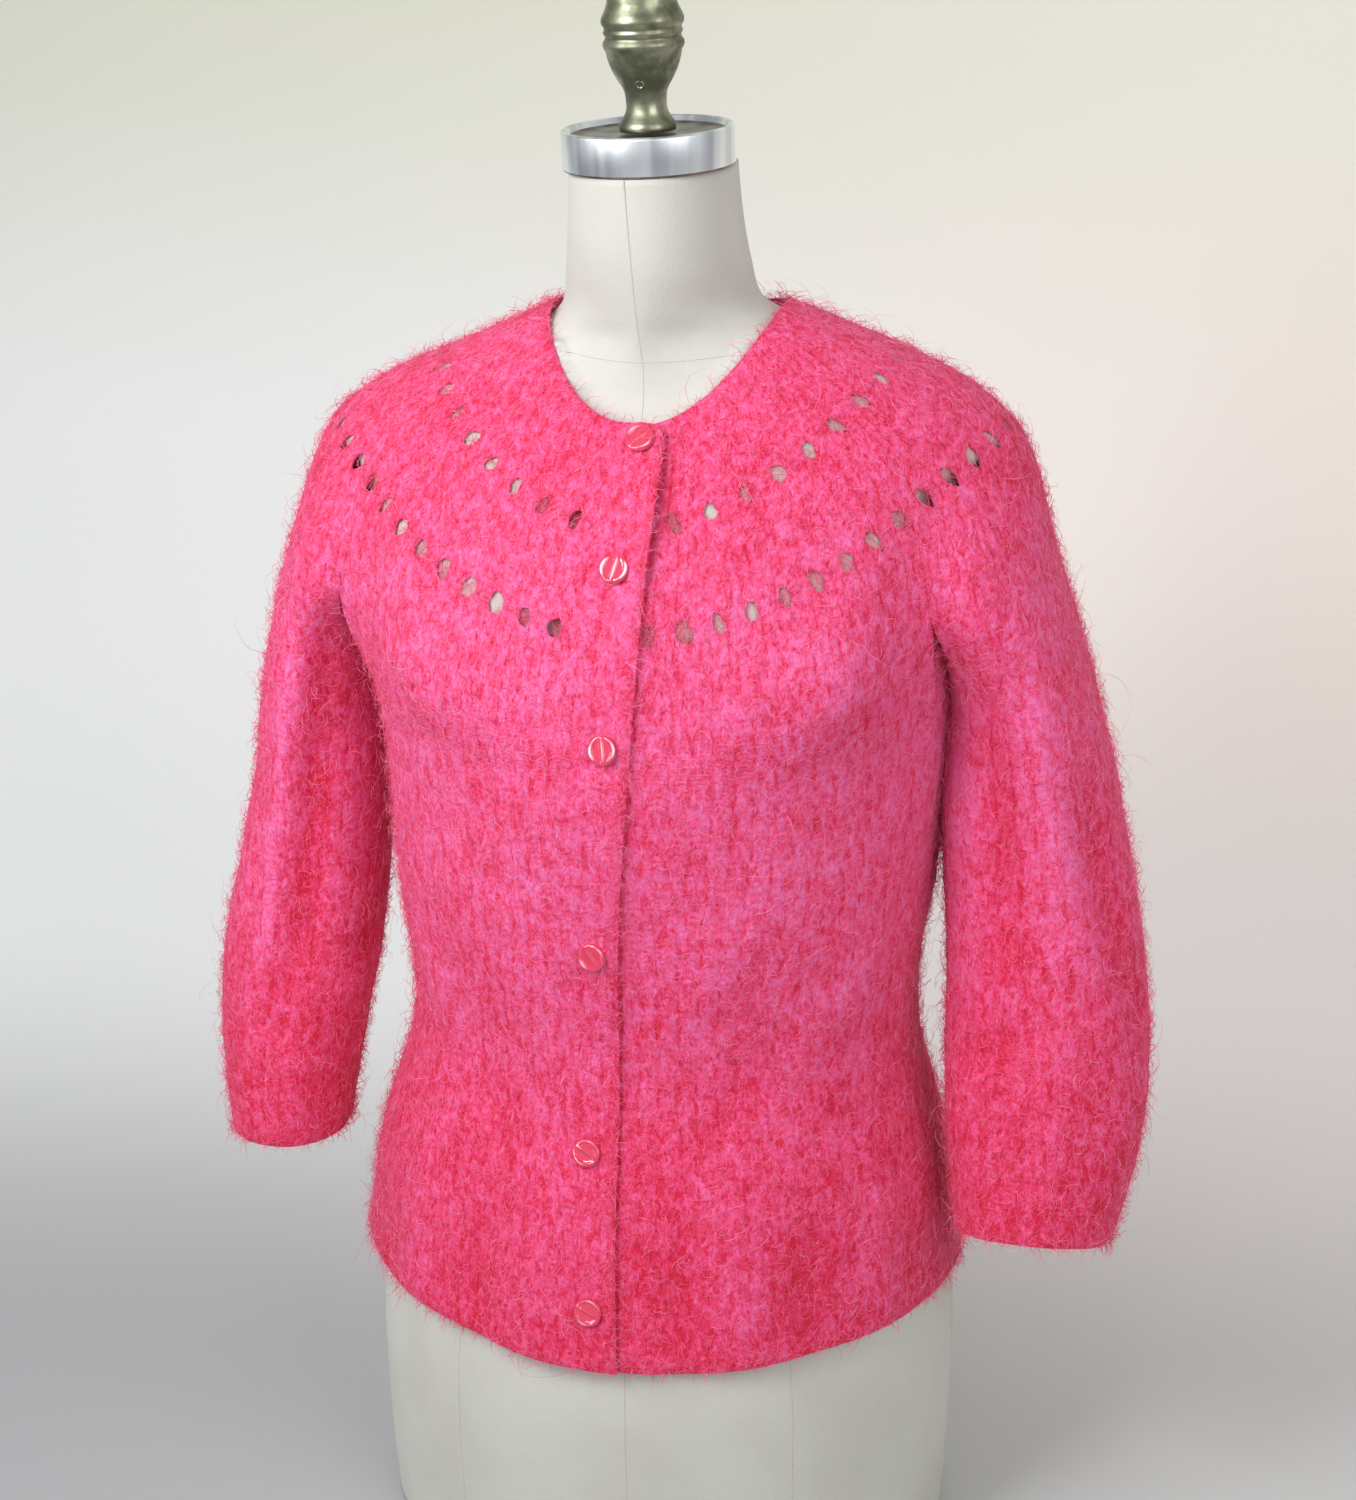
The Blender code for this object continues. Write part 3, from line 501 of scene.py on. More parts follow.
def smooth_rows(guides, places):
    """Points of every column at the given places between its guide points."""
    guides = np.asarray(guides)
    gaps = np.linalg.norm(np.diff(guides, axis=0), axis=2)[:, :, None]
    slopes = np.diff(guides, axis=0) / gaps
    inner = (gaps[1:] * slopes[:-1] + gaps[:-1] * slopes[1:]) / (gaps[1:] + gaps[:-1])
    first = 1.5 * slopes[:1] - 0.5 * inner[:1]
    last = 1.5 * slopes[-1:] - 0.5 * inner[-1:]
    tangents = np.concatenate([first, inner, last])
    rows = []
    for place in places:
        span = min(int(place), len(gaps) - 1)
        t = place - span
        rows.append(
            (2 * t**3 - 3 * t**2 + 1) * guides[span]
            + (t**3 - 2 * t**2 + t) * gaps[span] * tangents[span]
            + (3 * t**2 - 2 * t**3) * guides[span + 1]
            + (t**3 - t**2) * gaps[span] * tangents[span + 1]
        )
    return np.array(rows)


print("columns round the yoke:", YOKE_COLUMNS)

# %% [markdown]
# ## Where body, sleeves and yoke meet
# On the real cardigan the sleeves and the body are knitted up to the armpits and then joined into
# one round yoke. The grids below meet in the same way: the yoke's lower edge is shared out to the
# body and the two sleeves, and a short stretch under each arm joins sleeve to body.

# %% The four grids of the skin
YOKE_ROWS = np.linspace(0.0, 5.0, 91)
BODY_ROWS = np.linspace(0.0, 5.0, 116)
SLEEVE_ROWS = np.linspace(0.0, 5.0, 101)


def underarm(front, back, side):
    """Points between the two armpits of a side, the armpits left out."""
    share = np.linspace(0.0, 1.0, UNDERARM_COLUMNS + 1)[1:-1, None]
    middle = front + (back - front) * share
    return middle + np.sin(math.pi * share) * np.array([side * UNDERARM_REACH, 0.0, -UNDERARM_DROP])


def cloth_skin():
    """The grids of the whole skin, as rows by columns of points."""
    yoke_guides = [round_yoke(yoke_loop(row)) for row in YOKE_LOOPS]
    edge = yoke_guides[-1]
    fronts = {1: edge[FRONT_COLUMNS], -1: edge[YOKE_COLUMNS - FRONT_COLUMNS]}
    backs = {1: edge[BACK_FIRST], -1: edge[BACK_LAST]}
    graft = {side: underarm(fronts[side], backs[side], side) for side in (1, -1)}

    # The body's top loop takes the yoke's edge in front and behind and the underarms between
    top = np.vstack([
        edge[:FRONT_COLUMNS + 1], graft[1],
        edge[BACK_FIRST:BACK_LAST + 1], graft[-1][::-1],
        edge[YOKE_COLUMNS - FRONT_COLUMNS:],
    ])
    loops = [body_loop(row) for row in BODY_LOOPS[:-1]] + [hem_loop(BODY_LOOPS[-1])]
    body_guides = [top] + [round_body(loop) for loop in loops]

    # A sleeve's top loop starts in the middle of its underarm and goes round by the front
    half = UNDERARM_COLUMNS // 2
    tables = {1: LEFT_SLEEVE_LOOPS, -1: RIGHT_SLEEVE_LOOPS}
    rises = {1: LEFT_CUFF_RISE, -1: RIGHT_CUFF_RISE}
    sleeve_guides = {}
    for side in (1, -1):
        arm = edge[FRONT_COLUMNS:BACK_FIRST + 1]
        if side == -1:
            arm = edge[BACK_LAST:YOKE_COLUMNS - FRONT_COLUMNS + 1][::-1]
        inner = graft[side]
        top_loop = np.vstack([inner[half - 1::-1], arm, inner[:half - 1:-1]])
        lower_loops = [sleeve_loop(row, side) for row in tables[side]]
        raise_cuff(lower_loops[-1], rises[side])
        sleeve_guides[side] = [top_loop] + [round_sleeve(loop) for loop in lower_loops]

    # The neighbour loop across each seam steers the columns, so that they cross it smoothly
    below = np.empty_like(edge)
    first_body = body_guides[1]
    below[:FRONT_COLUMNS + 1] = first_body[:FRONT_COLUMNS + 1]
    behind = FRONT_COLUMNS + UNDERARM_COLUMNS
    below[BACK_FIRST:BACK_LAST + 1] = first_body[behind:behind + BACK_LAST - BACK_FIRST + 1]
    below[YOKE_COLUMNS - FRONT_COLUMNS:] = first_body[-FRONT_COLUMNS - 1:]
    below[FRONT_COLUMNS + 1:BACK_FIRST] = sleeve_guides[1][1][half + 1:half + ARM_COLUMNS]
    right_arm = sleeve_guides[-1][1][half + 1:half + ARM_COLUMNS][::-1]
    below[BACK_LAST + 1:YOKE_COLUMNS - FRONT_COLUMNS] = right_arm
    skin = {"yoke": smooth_rows(yoke_guides + [below], YOKE_ROWS)}

    before = yoke_guides[-2]
    body_before = np.vstack([
        before[:FRONT_COLUMNS + 1],
        sleeve_guides[1][1][half - 1::-1], sleeve_guides[1][1][:ARM_COLUMNS + half:-1],
        before[BACK_FIRST:BACK_LAST + 1],
        sleeve_guides[-1][1][ARM_COLUMNS + half + 1:], sleeve_guides[-1][1][:half],
        before[YOKE_COLUMNS - FRONT_COLUMNS:],
    ])
    skin["body"] = smooth_rows([body_before] + body_guides, BODY_ROWS + 1.0)
    for side, name in ((1, "left_sleeve"), (-1, "right_sleeve")):
        side_first = first_body[SIDE_COLUMNS - half + 1:SIDE_COLUMNS + half]
        arm_before = before[FRONT_COLUMNS:BACK_FIRST + 1]
        if side == -1:
            count = len(first_body) - 1 - SIDE_COLUMNS
            side_first = first_body[count - half + 1:count + half][::-1]
            arm_before = before[BACK_LAST:YOKE_COLUMNS - FRONT_COLUMNS + 1][::-1]
        above = np.vstack([side_first[half - 1::-1], arm_before, side_first[:half - 1:-1]])
        skin[name] = smooth_rows([above] + sleeve_guides[side], SLEEVE_ROWS + 1.0)

    # The band strip crosses every yoke and body loop at the front line
    band_loops = [yoke_loop(row) for row in YOKE_LOOPS] + loops
    places = np.concatenate([YOKE_ROWS, len(YOKE_LOOPS) - 1 + BODY_ROWS[1:]])
    skin["band"] = smooth_rows([across_band(loop) for loop in band_loops], places)
    return skin


skin = cloth_skin()
band_rows = len(YOKE_ROWS)
skin["band"][:band_rows, -1] = skin["yoke"][:, 0]
skin["band"][:band_rows, 0] = skin["yoke"][:, -1]
skin["band"][band_rows - 1:, -1] = skin["body"][:, 0]
skin["band"][band_rows - 1:, 0] = skin["body"][:, -1]
for name, grid in skin.items():
    print("grid", name, grid.shape[0], "rows by", grid.shape[1], "columns")

# %% [markdown]
# ## The outward direction all over the skin
# Hairs and wall thickness both need to know which way is out. Welding coarse copies of the grids
# into one mesh and letting Blender average its normals makes that direction agree across seams.

# %% Outward directions
def grid_sheet(points, closed=False):
    """A bmesh grid shaped to rows by columns of points, faces outwards; a closed one is welded."""
    if closed:
        points = np.concatenate([points, points[:, :1]], axis=1)
    rows, columns = points.shape[:2]
    bm = bmesh.new()
    bmesh.ops.create_grid(bm, x_segments=columns - 1, y_segments=rows - 1, size=1.0)
    bm.verts.ensure_lookup_table()
    for vert, point in zip(bm.verts, points.reshape(-1, 3)):
        vert.co = point
    bmesh.ops.reverse_faces(bm, faces=bm.faces)
    return bm


welded = bmesh.new()
for name, grid in skin.items():
    sheet_mesh = bpy.data.meshes.new("welding")
    turned_grid = grid[:, ::-1] if name == "right_sleeve" else grid
    bm = grid_sheet(turned_grid, closed="sleeve" in name)
    bm.to_mesh(sheet_mesh)
    bm.free()
    welded.from_mesh(sheet_mesh)
    bpy.data.meshes.remove(sheet_mesh)
bmesh.ops.remove_doubles(welded, verts=welded.verts, dist=0.00001)
welded.normal_update()
normal_tree = KDTree(len(welded.verts))
welded_normals = np.empty((len(welded.verts), 3))
for number, vert in enumerate(welded.verts):
    normal_tree.insert(vert.co, number)
    welded_normals[number] = vert.normal
normal_tree.balance()
welded.free()


def outward(points):
    """The skin's outward direction nearest to each point of a grid."""
    flat = points.reshape(-1, 3)
    found = [normal_tree.find(Vector(point))[1] for point in flat]
    return welded_normals[found].reshape(points.shape)


print("front of the body faces", np.round(outward(skin["body"][60:61, 30:31]), 2))

# %% [markdown]
# ## Folds and lumps
# The cardigan hangs in a few soft folds: drags from the bust to the waist, flutes over the hips,
# long folds down the sleeves and short wrinkles inside each elbow. Each is one row of the table, a
# straight ridge or trough with its own place, slant, length, width and rise.
# Mohair also puffs unevenly, so a little smooth noise is added everywhere.

# %% Folds
Fold = namedtuple("Fold", "x y z lean length width rise")
FOLDS = [
    # Front of the body: drags towards the waist, then flutes over the hips
    Fold(0.060, -0.130, 0.415, 0.55, 0.090, 0.016, 0.0016),
    Fold(0.085, -0.125, 0.360, 0.60, 0.080, 0.014, -0.0020),
    Fold(-0.070, -0.130, 0.400, -0.50, 0.080, 0.016, 0.0014),
    Fold(-0.095, -0.120, 0.350, -0.45, 0.070, 0.014, -0.0018),
    Fold(0.120, -0.090, 0.385, 0.75, 0.060, 0.013, 0.0020),
    Fold(-0.125, -0.085, 0.380, -0.70, 0.060, 0.013, 0.0018),
    Fold(-0.045, -0.150, 0.235, 0.10, 0.070, 0.014, 0.0022),
    Fold(-0.085, -0.145, 0.225, 0.06, 0.065, 0.013, -0.0020),
    Fold(-0.130, -0.115, 0.230, -0.05, 0.065, 0.016, 0.0022),
    Fold(0.035, -0.155, 0.230, -0.06, 0.070, 0.013, -0.0020),
    Fold(0.070, -0.150, 0.235, -0.10, 0.070, 0.015, 0.0022),
    Fold(0.110, -0.130, 0.225, 0.04, 0.060, 0.014, -0.0018),
    Fold(0.145, -0.095, 0.235, 0.08, 0.060, 0.016, 0.0020),
    # Back of the body
    Fold(-0.070, 0.095, 0.400, 0.50, 0.080, 0.017, 0.0016),
    Fold(0.075, 0.095, 0.385, -0.55, 0.085, 0.017, 0.0018),
    Fold(0.000, 0.110, 0.240, 0.05, 0.070, 0.015, 0.0022),
    Fold(-0.050, 0.115, 0.235, -0.05, 0.070, 0.014, -0.0020),
    Fold(0.055, 0.115, 0.230, 0.08, 0.065, 0.014, -0.0020),
    Fold(-0.110, 0.090, 0.235, 0.05, 0.065, 0.016, 0.0020),
    Fold(0.115, 0.085, 0.235, -0.06, 0.065, 0.016, 0.0020),
    # Drags from the armpits across the chest and the shoulder blades
    Fold(0.120, -0.105, 0.545, 0.80, 0.050, 0.011, -0.0014),
    Fold(-0.118, -0.105, 0.545, -0.85, 0.050, 0.011, -0.0014),
    Fold(0.120, 0.080, 0.560, -0.70, 0.050, 0.013, -0.0014),
    Fold(-0.120, 0.080, 0.560, 0.70, 0.050, 0.013, -0.0014),
    # Fullness under the wearer's left arm, where sleeve and body touch above the waist
    Fold(0.166, 0.000, 0.490, -0.03, 0.085, 0.034, 0.0050),
    Fold(0.166, -0.040, 0.520, -0.03, 0.060, 0.026, 0.0030),
    # Sleeve on the wearer's right
    Fold(-0.2195, -0.064, 0.450, 0.157, 0.150, 0.009, 0.0034),
    Fold(-0.197, -0.060, 0.470, 0.13, 0.130, 0.012, -0.0036),
    Fold(-0.258, -0.035, 0.390, -0.20, 0.050, 0.010, -0.0020),
    Fold(-0.190, -0.040, 0.370, 1.20, 0.030, 0.009, -0.0022),
    Fold(-0.195, -0.045, 0.340, 1.10, 0.028, 0.009, 0.0016),
    Fold(-0.230, 0.040, 0.470, 0.10, 0.100, 0.013, 0.0018),
    Fold(-0.215, -0.078, 0.300, 0.05, 0.060, 0.012, 0.0014),
    # Sleeve on the wearer's left
    Fold(0.226, -0.064, 0.500, -0.20, 0.100, 0.013, 0.0028),
    Fold(0.200, -0.062, 0.470, -0.14, 0.100, 0.011, -0.0030),
    Fold(0.262, -0.050, 0.430, -0.25, 0.080, 0.012, -0.0030),
    Fold(0.280, -0.030, 0.395, 0.90, 0.030, 0.009, -0.0022),
    Fold(0.285, -0.040, 0.360, 1.10, 0.028, 0.009, 0.0016),
    Fold(0.240, -0.085, 0.330, 0.08, 0.070, 0.012, 0.0018),
    Fold(0.200, -0.075, 0.350, 0.95, 0.035, 0.010, -0.0018),
    Fold(0.240, 0.035, 0.440, -0.15, 0.100, 0.013, 0.0018),
]
FOLD_DEPTH = 1.35
LUMP_SIZE = 0.022
LUMP_RISE = 0.0007
PUFF_SIZE = 0.006
PUFF_RISE = 0.0004
SHOULDER_FREE = 0.66
STITCH_GROOVE = 0.00022


def fold_rise(points):
    """How far the folds move each point outwards."""
    rise = np.zeros(points.shape[:-1])
    for fold in FOLDS:
        along = np.array([math.sin(fold.lean), 0.0, math.cos(fold.lean)])
        offset = points - np.array([fold.x, fold.y, fold.z])
        run = offset @ along
        aside = np.linalg.norm(offset - run[..., None] * along, axis=-1)
        rise += FOLD_DEPTH * fold.rise * np.exp(-(aside / fold.width) ** 2 - (run / fold.length) ** 4)
    return rise


def noise_rise(points, size, rise):
    """Smooth uneven puffing of about the given size."""
    flat = points.reshape(-1, 3) / size
    values = [noise.noise(Vector(point)) for point in flat]
    return rise * np.array(values).reshape(points.shape[:-1])


def stitch_groove(grid):
    """A shallow groove between neighbouring columns of stitches."""
    column = np.arange(grid.shape[1]) % FINER
    return np.where(column == 0, -STITCH_GROOVE, STITCH_GROOVE / 2.0)[None, :]


def fade(distance):
    """One at a band's seam, falling smoothly to nothing where the lap has flattened out."""
    share = np.clip(1.0 - distance / LAP_RUN, 0.0, 1.0)
    return share * share * (3.0 - 2.0 * share)


def lap_lift(grid):
    """How far each point is raised, near the last column, whose band laps over the other."""
    steps = np.linalg.norm(np.diff(grid, axis=1), axis=2)
    distance = np.concatenate([np.zeros((len(grid), 1)), np.cumsum(steps, axis=1)], axis=1)
    return LAP * fade(distance[:, -1:] - distance)


normals = {name: outward(grid) for name, grid in skin.items()}
relief = {}
for name, grid in skin.items():
    free = np.clip((SHOULDER_FREE - grid[..., 2]) / 0.05, 0.25, 1.0)
    relief[name] = fold_rise(grid) + free * noise_rise(grid, LUMP_SIZE, LUMP_RISE)
    relief[name] = relief[name] + noise_rise(grid, PUFF_SIZE, PUFF_RISE) + stitch_groove(grid)
print("relief from", round(float(relief["body"].min()) * 1000, 1), "to",
      round(float(relief["body"].max()) * 1000, 1), "mm")

# %% [markdown]
# ## The stitch pattern
# The cardigan is knitted in rows of V-shaped stitches, which brushing nearly hides. A picture of
# knitting would repeat and blur, so a node group draws the pattern. It reads a UV map that counts
# stitches across and rows of stitches down, and puts out the yarn's height and the gaps.

# %% Knitting as a node group
STITCH_HEIGHT = 0.0042

knit = bpy.data.node_groups.new("knit", "ShaderNodeTree")
knit.interface.new_socket("Stitches", in_out="INPUT", socket_type="NodeSocketVector")
knit.interface.new_socket("Place", in_out="INPUT", socket_type="NodeSocketVector")
knit.interface.new_socket("Height", in_out="OUTPUT", socket_type="NodeSocketFloat")
knit.interface.new_socket("Gap", in_out="OUTPUT", socket_type="NodeSocketFloat")
group_in = knit.nodes.new("NodeGroupInput")
group_out = knit.nodes.new("NodeGroupOutput")
wobble = add_node(knit, "ShaderNodeTexNoise", Scale=130.0, Detail=2.0)
knit.links.new(group_in.outputs["Place"], wobble.inputs["Vector"])
axes = add_node(knit, "ShaderNodeSeparateXYZ")
knit.links.new(group_in.outputs["Stitches"], axes.inputs[0])
shift = math_node(knit, "MULTIPLY_ADD", wobble.outputs[0], 0.9, -0.45)
across = math_node(knit, "FRACT", math_node(knit, "ADD", axes.outputs["X"], shift))
side = math_node(knit, "ABSOLUTE", math_node(knit, "MULTIPLY_ADD", across, 2.0, -1.0))
slope = math_node(knit, "MULTIPLY_ADD", side, -0.7, axes.outputs["Y"])
down = math_node(knit, "FRACT", math_node(knit, "ADD", slope, shift))
leg = math_node(knit, "SINE", math_node(knit, "MULTIPLY", down, math.pi))
edge_gap = ramp(knit, side, 0.62, 0.98)
row_gap = ramp(knit, leg, 0.45, 0.0)
gap = math_node(knit, "MAXIMUM", edge_gap, math_node(knit, "MULTIPLY", row_gap, 0.8))
height = math_node(knit, "MULTIPLY", leg, math_node(knit, "SUBTRACT", 1.0, edge_gap))
knit.links.new(height, group_out.inputs["Height"])
knit.links.new(gap, group_out.inputs["Gap"])
print("knit group nodes:", len(knit.nodes))

# %% [markdown]
# ## Brushed wool
# Short loops of crimson core yarn show in the gaps, and a cloud of pink fibres covers the
# stitches. One value, light, says how much pink covers a place. Noise in several sizes makes it
# uneven. Painted light and shade is added to it: the attribute fold makes ridges paler and troughs
# deeper, and slow ramps pale the upper body and redden the hem, the sleeves and the yoke. Two ramps
# then turn light into three colours.

# %% Brushed wool material
PINK = (0.97, 0.235, 0.570, 1.0)
CORAL = (0.92, 0.082, 0.235, 1.0)
CRIMSON = (0.72, 0.018, 0.062, 1.0)

wool, tree, output = new_material("brushed_wool")
coordinates = add_node(tree, "ShaderNodeTexCoord")
place = coordinates.outputs["Object"]
pattern = tree.nodes.new("ShaderNodeGroup")
pattern.node_tree = knit
tree.links.new(coordinates.outputs["UV"], pattern.inputs["Stitches"])
tree.links.new(place, pattern.inputs["Place"])
clumps = noise_on(tree, place, 260.0, 2.0, (1.0, 1.0, 0.50), 0.5, 0.6)
streaks = noise_on(tree, place, 130.0, 2.0, (1.0, 1.0, 0.42), 0.55, 0.8)
fibres = noise_on(tree, place, 900.0, 2.0, (1.0, 1.0, 0.35), 0.6, 1.2)
patches = noise_on(tree, place, 32.0, 3.0)
parts = add_node(tree, "ShaderNodeSeparateXYZ")
tree.links.new(place, parts.inputs[0])
# Painted light and shade: paler high on the body, redder towards the hem, on the sleeves and over the yoke.
painted_light_by_height = ramp(tree, parts.outputs["Z"], 0.18, 0.50, -0.095, 0.03)
painted_sleeve_shade = ramp(tree, math_node(tree, "ABSOLUTE", parts.outputs["X"]), 0.165, 0.20, 0.0, -0.035)
painted_yoke_shade = ramp(tree, parts.outputs["Z"], 0.60, 0.70, 0.0, -0.065)
light = math_node(tree, "ADD", math_node(tree, "ADD", painted_light_by_height, painted_sleeve_shade), painted_yoke_shade)
for layer, share in ((clumps, 0.44), (streaks, 0.20), (fibres, 0.62), (patches, 0.22)):
    light = math_node(tree, "MULTIPLY_ADD", math_node(tree, "SUBTRACT", layer, 0.5), share, light)
open_gap = math_node(tree, "MULTIPLY", pattern.outputs["Gap"], ramp(tree, clumps, 0.62, 0.38))
light = math_node(tree, "MULTIPLY_ADD", open_gap, -0.12, light)
# Painted light and shade: fold ridges paler, fold troughs deeper.
painted_fold_light = add_node(tree, "ShaderNodeAttribute", attribute_name="fold").outputs["Fac"]
light = math_node(tree, "MULTIPLY_ADD", painted_fold_light, 0.075, light)
colour = mix_colours(tree, ramp(tree, light, -0.27, 0.02), CRIMSON, CORAL)
colour = mix_colours(tree, ramp(tree, light, -0.09, 0.26), colour, PINK)
shader = principled(
    tree, colour, Roughness=0.75, Specular_IOR_Level=0.2,
    Sheen_Weight=0.3, Sheen_Roughness=0.4, Sheen_Tint=(1.0, 0.45, 0.65, 1.0),
)
uneven = math_node(tree, "MULTIPLY", light, 2.0)
height = math_node(tree, "MULTIPLY_ADD", pattern.outputs["Height"], 0.35, uneven)
add_bump(tree, shader, height, 0.5, 0.0012)
let_light_through(tree, shader, colour, 0.20, output)
print("wool nodes:", len(tree.nodes))

# %% [markdown]
# ## Loose fibres' material
# A single mohair fibre is clear and shiny, and lets light through. Its UV map holds a chance tone
# for each fibre and the share of the way to its tip, so that fibres differ and their tips are paler,
# a painted sheen.

# %% Loose fibre material
FIBRE_DEEP = (0.88, 0.045, 0.140, 1.0)
FIBRE_PALE = (0.98, 0.330, 0.580, 1.0)
FIBRE_TIP_SHEEN = (1.0, 0.560, 0.740, 1.0)

hair, tree, output = new_material("loose_fibre")
axes = add_node(tree, "ShaderNodeSeparateXYZ")
tree.links.new(add_node(tree, "ShaderNodeTexCoord").outputs["UV"], axes.inputs[0])
tone = math_node(tree, "POWER", axes.outputs["X"], 1.5)
colour = mix_colours(tree, tone, FIBRE_DEEP, FIBRE_PALE)
# Painted sheen: the tips are paler.
painted_tip_sheen = math_node(tree, "MULTIPLY", ramp(tree, axes.outputs["Y"], 0.3, 1.0), 0.5)
colour = mix_colours(tree, painted_tip_sheen, colour, FIBRE_TIP_SHEEN)
shader = principled(tree, colour, Roughness=0.4, Specular_IOR_Level=0.4)
let_light_through(tree, shader, colour, 0.50, output)
print("materials:", ", ".join(made.name for made in bpy.data.materials))

# %% [markdown]
# ## Eyelets
# Two rings of holes were knitted into the yoke. Cutting them with a Boolean would leave ragged
# triangles, so the faces inside an uneven oval are taken out and the points round it are pulled
# onto the oval. Each hole has its own size and unevenness, from a fixed seed.

# %% Holes in the yoke
EyeletRing = namedtuple("EyeletRing", "place first every half_width half_height")
EYELET_RINGS = [
    EyeletRing(2.0, 1, 3, 0.0034, 0.0060),
    EyeletRing(3.97, 0, 2, 0.0038, 0.0068),
]
HOLE_REACH = 6
OPEN_SHARE = 0.80
HOLE_SEED = 7
SMALLEST_HOLE = 0.84
LARGEST_HOLE = 1.12
OVAL_UNEVEN = 0.13
THREE_UNEVEN = 0.09
Hole = namedtuple("Hole", "centre across along half_width half_height")


def pierce(grid):
    """Shape the holes; returns the moved grid, the set of open cells and the holes themselves."""
    moved = grid.copy()
    cells = set()
    holes = []
    rng = np.random.default_rng(HOLE_SEED)
    rows_per_loop = (len(YOKE_ROWS) - 1) / (len(YOKE_LOOPS) - 1)
    for ring in EYELET_RINGS:
        middle_row = ring.place * rows_per_loop
        nearest = int(round(middle_row))
        for column in range(ring.first, YOKE_COLUMNS // FINER, ring.every):
            first = column * FINER
            centre = 0.5 * (grid[nearest, first + 1] + grid[nearest, first + 2])
            row_step = grid[nearest + 1, first + 1] - grid[nearest, first + 1]
            centre = centre + (middle_row - nearest) * row_step
            across = grid[nearest, first + 3] - grid[nearest, first]
            across = across / np.linalg.norm(across)
            along = grid[nearest + 1, first + 1] - grid[nearest - 1, first + 1]
            along = along - (along @ across) * across
            along = along / np.linalg.norm(along)
            size = rng.uniform(SMALLEST_HOLE, LARGEST_HOLE)
            half_width, half_height = size * ring.half_width, size * ring.half_height
            holes.append(Hole(centre, across, along, half_width, half_height))
            low_row = nearest - HOLE_REACH
            low_column = max(first + 1 - HOLE_REACH, 0)
            window = grid[low_row:nearest + HOLE_REACH + 1, low_column:first + 3 + HOLE_REACH]
            offset = window - centre
            a = offset @ across / half_width
            b = offset @ along / half_height
            turn = np.arctan2(b, a)
            uneven = OVAL_UNEVEN * np.sin(2.0 * turn + rng.uniform(0.0, 6.3))
            uneven = uneven + THREE_UNEVEN * np.sin(3.0 * turn + rng.uniform(0.0, 6.3))
            reach = np.hypot(a, b) / (1.0 + uneven)
            corner = 0.25 * (reach[:-1, :-1] + reach[1:, :-1] + reach[:-1, 1:] + reach[1:, 1:])
            inside = corner < OPEN_SHARE
            beside = np.zeros_like(reach, dtype=bool)
            for row, col in zip(*np.nonzero(inside)):
                cells.add((low_row + row, low_column + col))
                beside[row:row + 2, col:col + 2] = True
            push = np.where(beside, 1.0 / np.maximum(reach, 0.15), 1.0)
            shift = offset * (push - 1.0)[..., None]
            moved[low_row:low_row + len(window), low_column:low_column + window.shape[1]] += shift
    return moved, cells, holes


print("eyelet rings:", len(EYELET_RINGS))

# %% [markdown]
# ## One knitted piece
# A piece is a grid whose points are moved onto the skin and out by the folds. Its vertices carry
# the attribute fold for the wool. Solidify gives the wall its thickness, inwards from the skin,
# and closes the rims. Extruding the sheet would do as well, but takes more steps. The yoke's wall
# is thinner below its neck edge, so that the eyelets don't look like deep tubes.

# %% One knitted piece
collection = bpy.context.scene.collection
ROLL = [-0.0013, -0.0004]
RIM_ANGLE = math.radians(50.0)
THIN = 0.30
FOLD_SCALE = 0.0035


def roll_edges(rise, borders):
    """Turn the free borders of a piece a little inwards, so that they look soft."""
    rolled = rise.copy()
    for number, drop in enumerate(ROLL):
        if "top" in borders:
            rolled[number] += drop
        if "bottom" in borders:
            rolled[-1 - number] += drop
        if "side" in borders:
            rolled[:, -1 - number] += drop
    return rolled


def unit(vectors):
    """The same directions, one metre long."""
    return vectors / np.linalg.norm(vectors, axis=-1, keepdims=True)


def thicken(piece, shares):
    """Give a sheet its wall, row by row, and keep the edges of its rim sharp."""
    group = piece.vertex_groups.new(name="wall")
    columns = len(piece.data.vertices) // len(shares)
    for row, share in enumerate(shares):
        group.add(list(range(row * columns, (row + 1) * columns)), float(share), "REPLACE")
    wall = piece.modifiers.new("wall", "SOLIDIFY")
    wall.thickness = WALL
    wall.offset = -1.0
    wall.vertex_group = group.name
    shaped = piece.evaluated_get(bpy.context.evaluated_depsgraph_get())
    mesh = bpy.data.meshes.new_from_object(shaped)
    piece.modifiers.clear()
    piece.vertex_groups.clear()
    piece.data = mesh
    mesh.set_sharp_from_angle(angle=RIM_ANGLE)


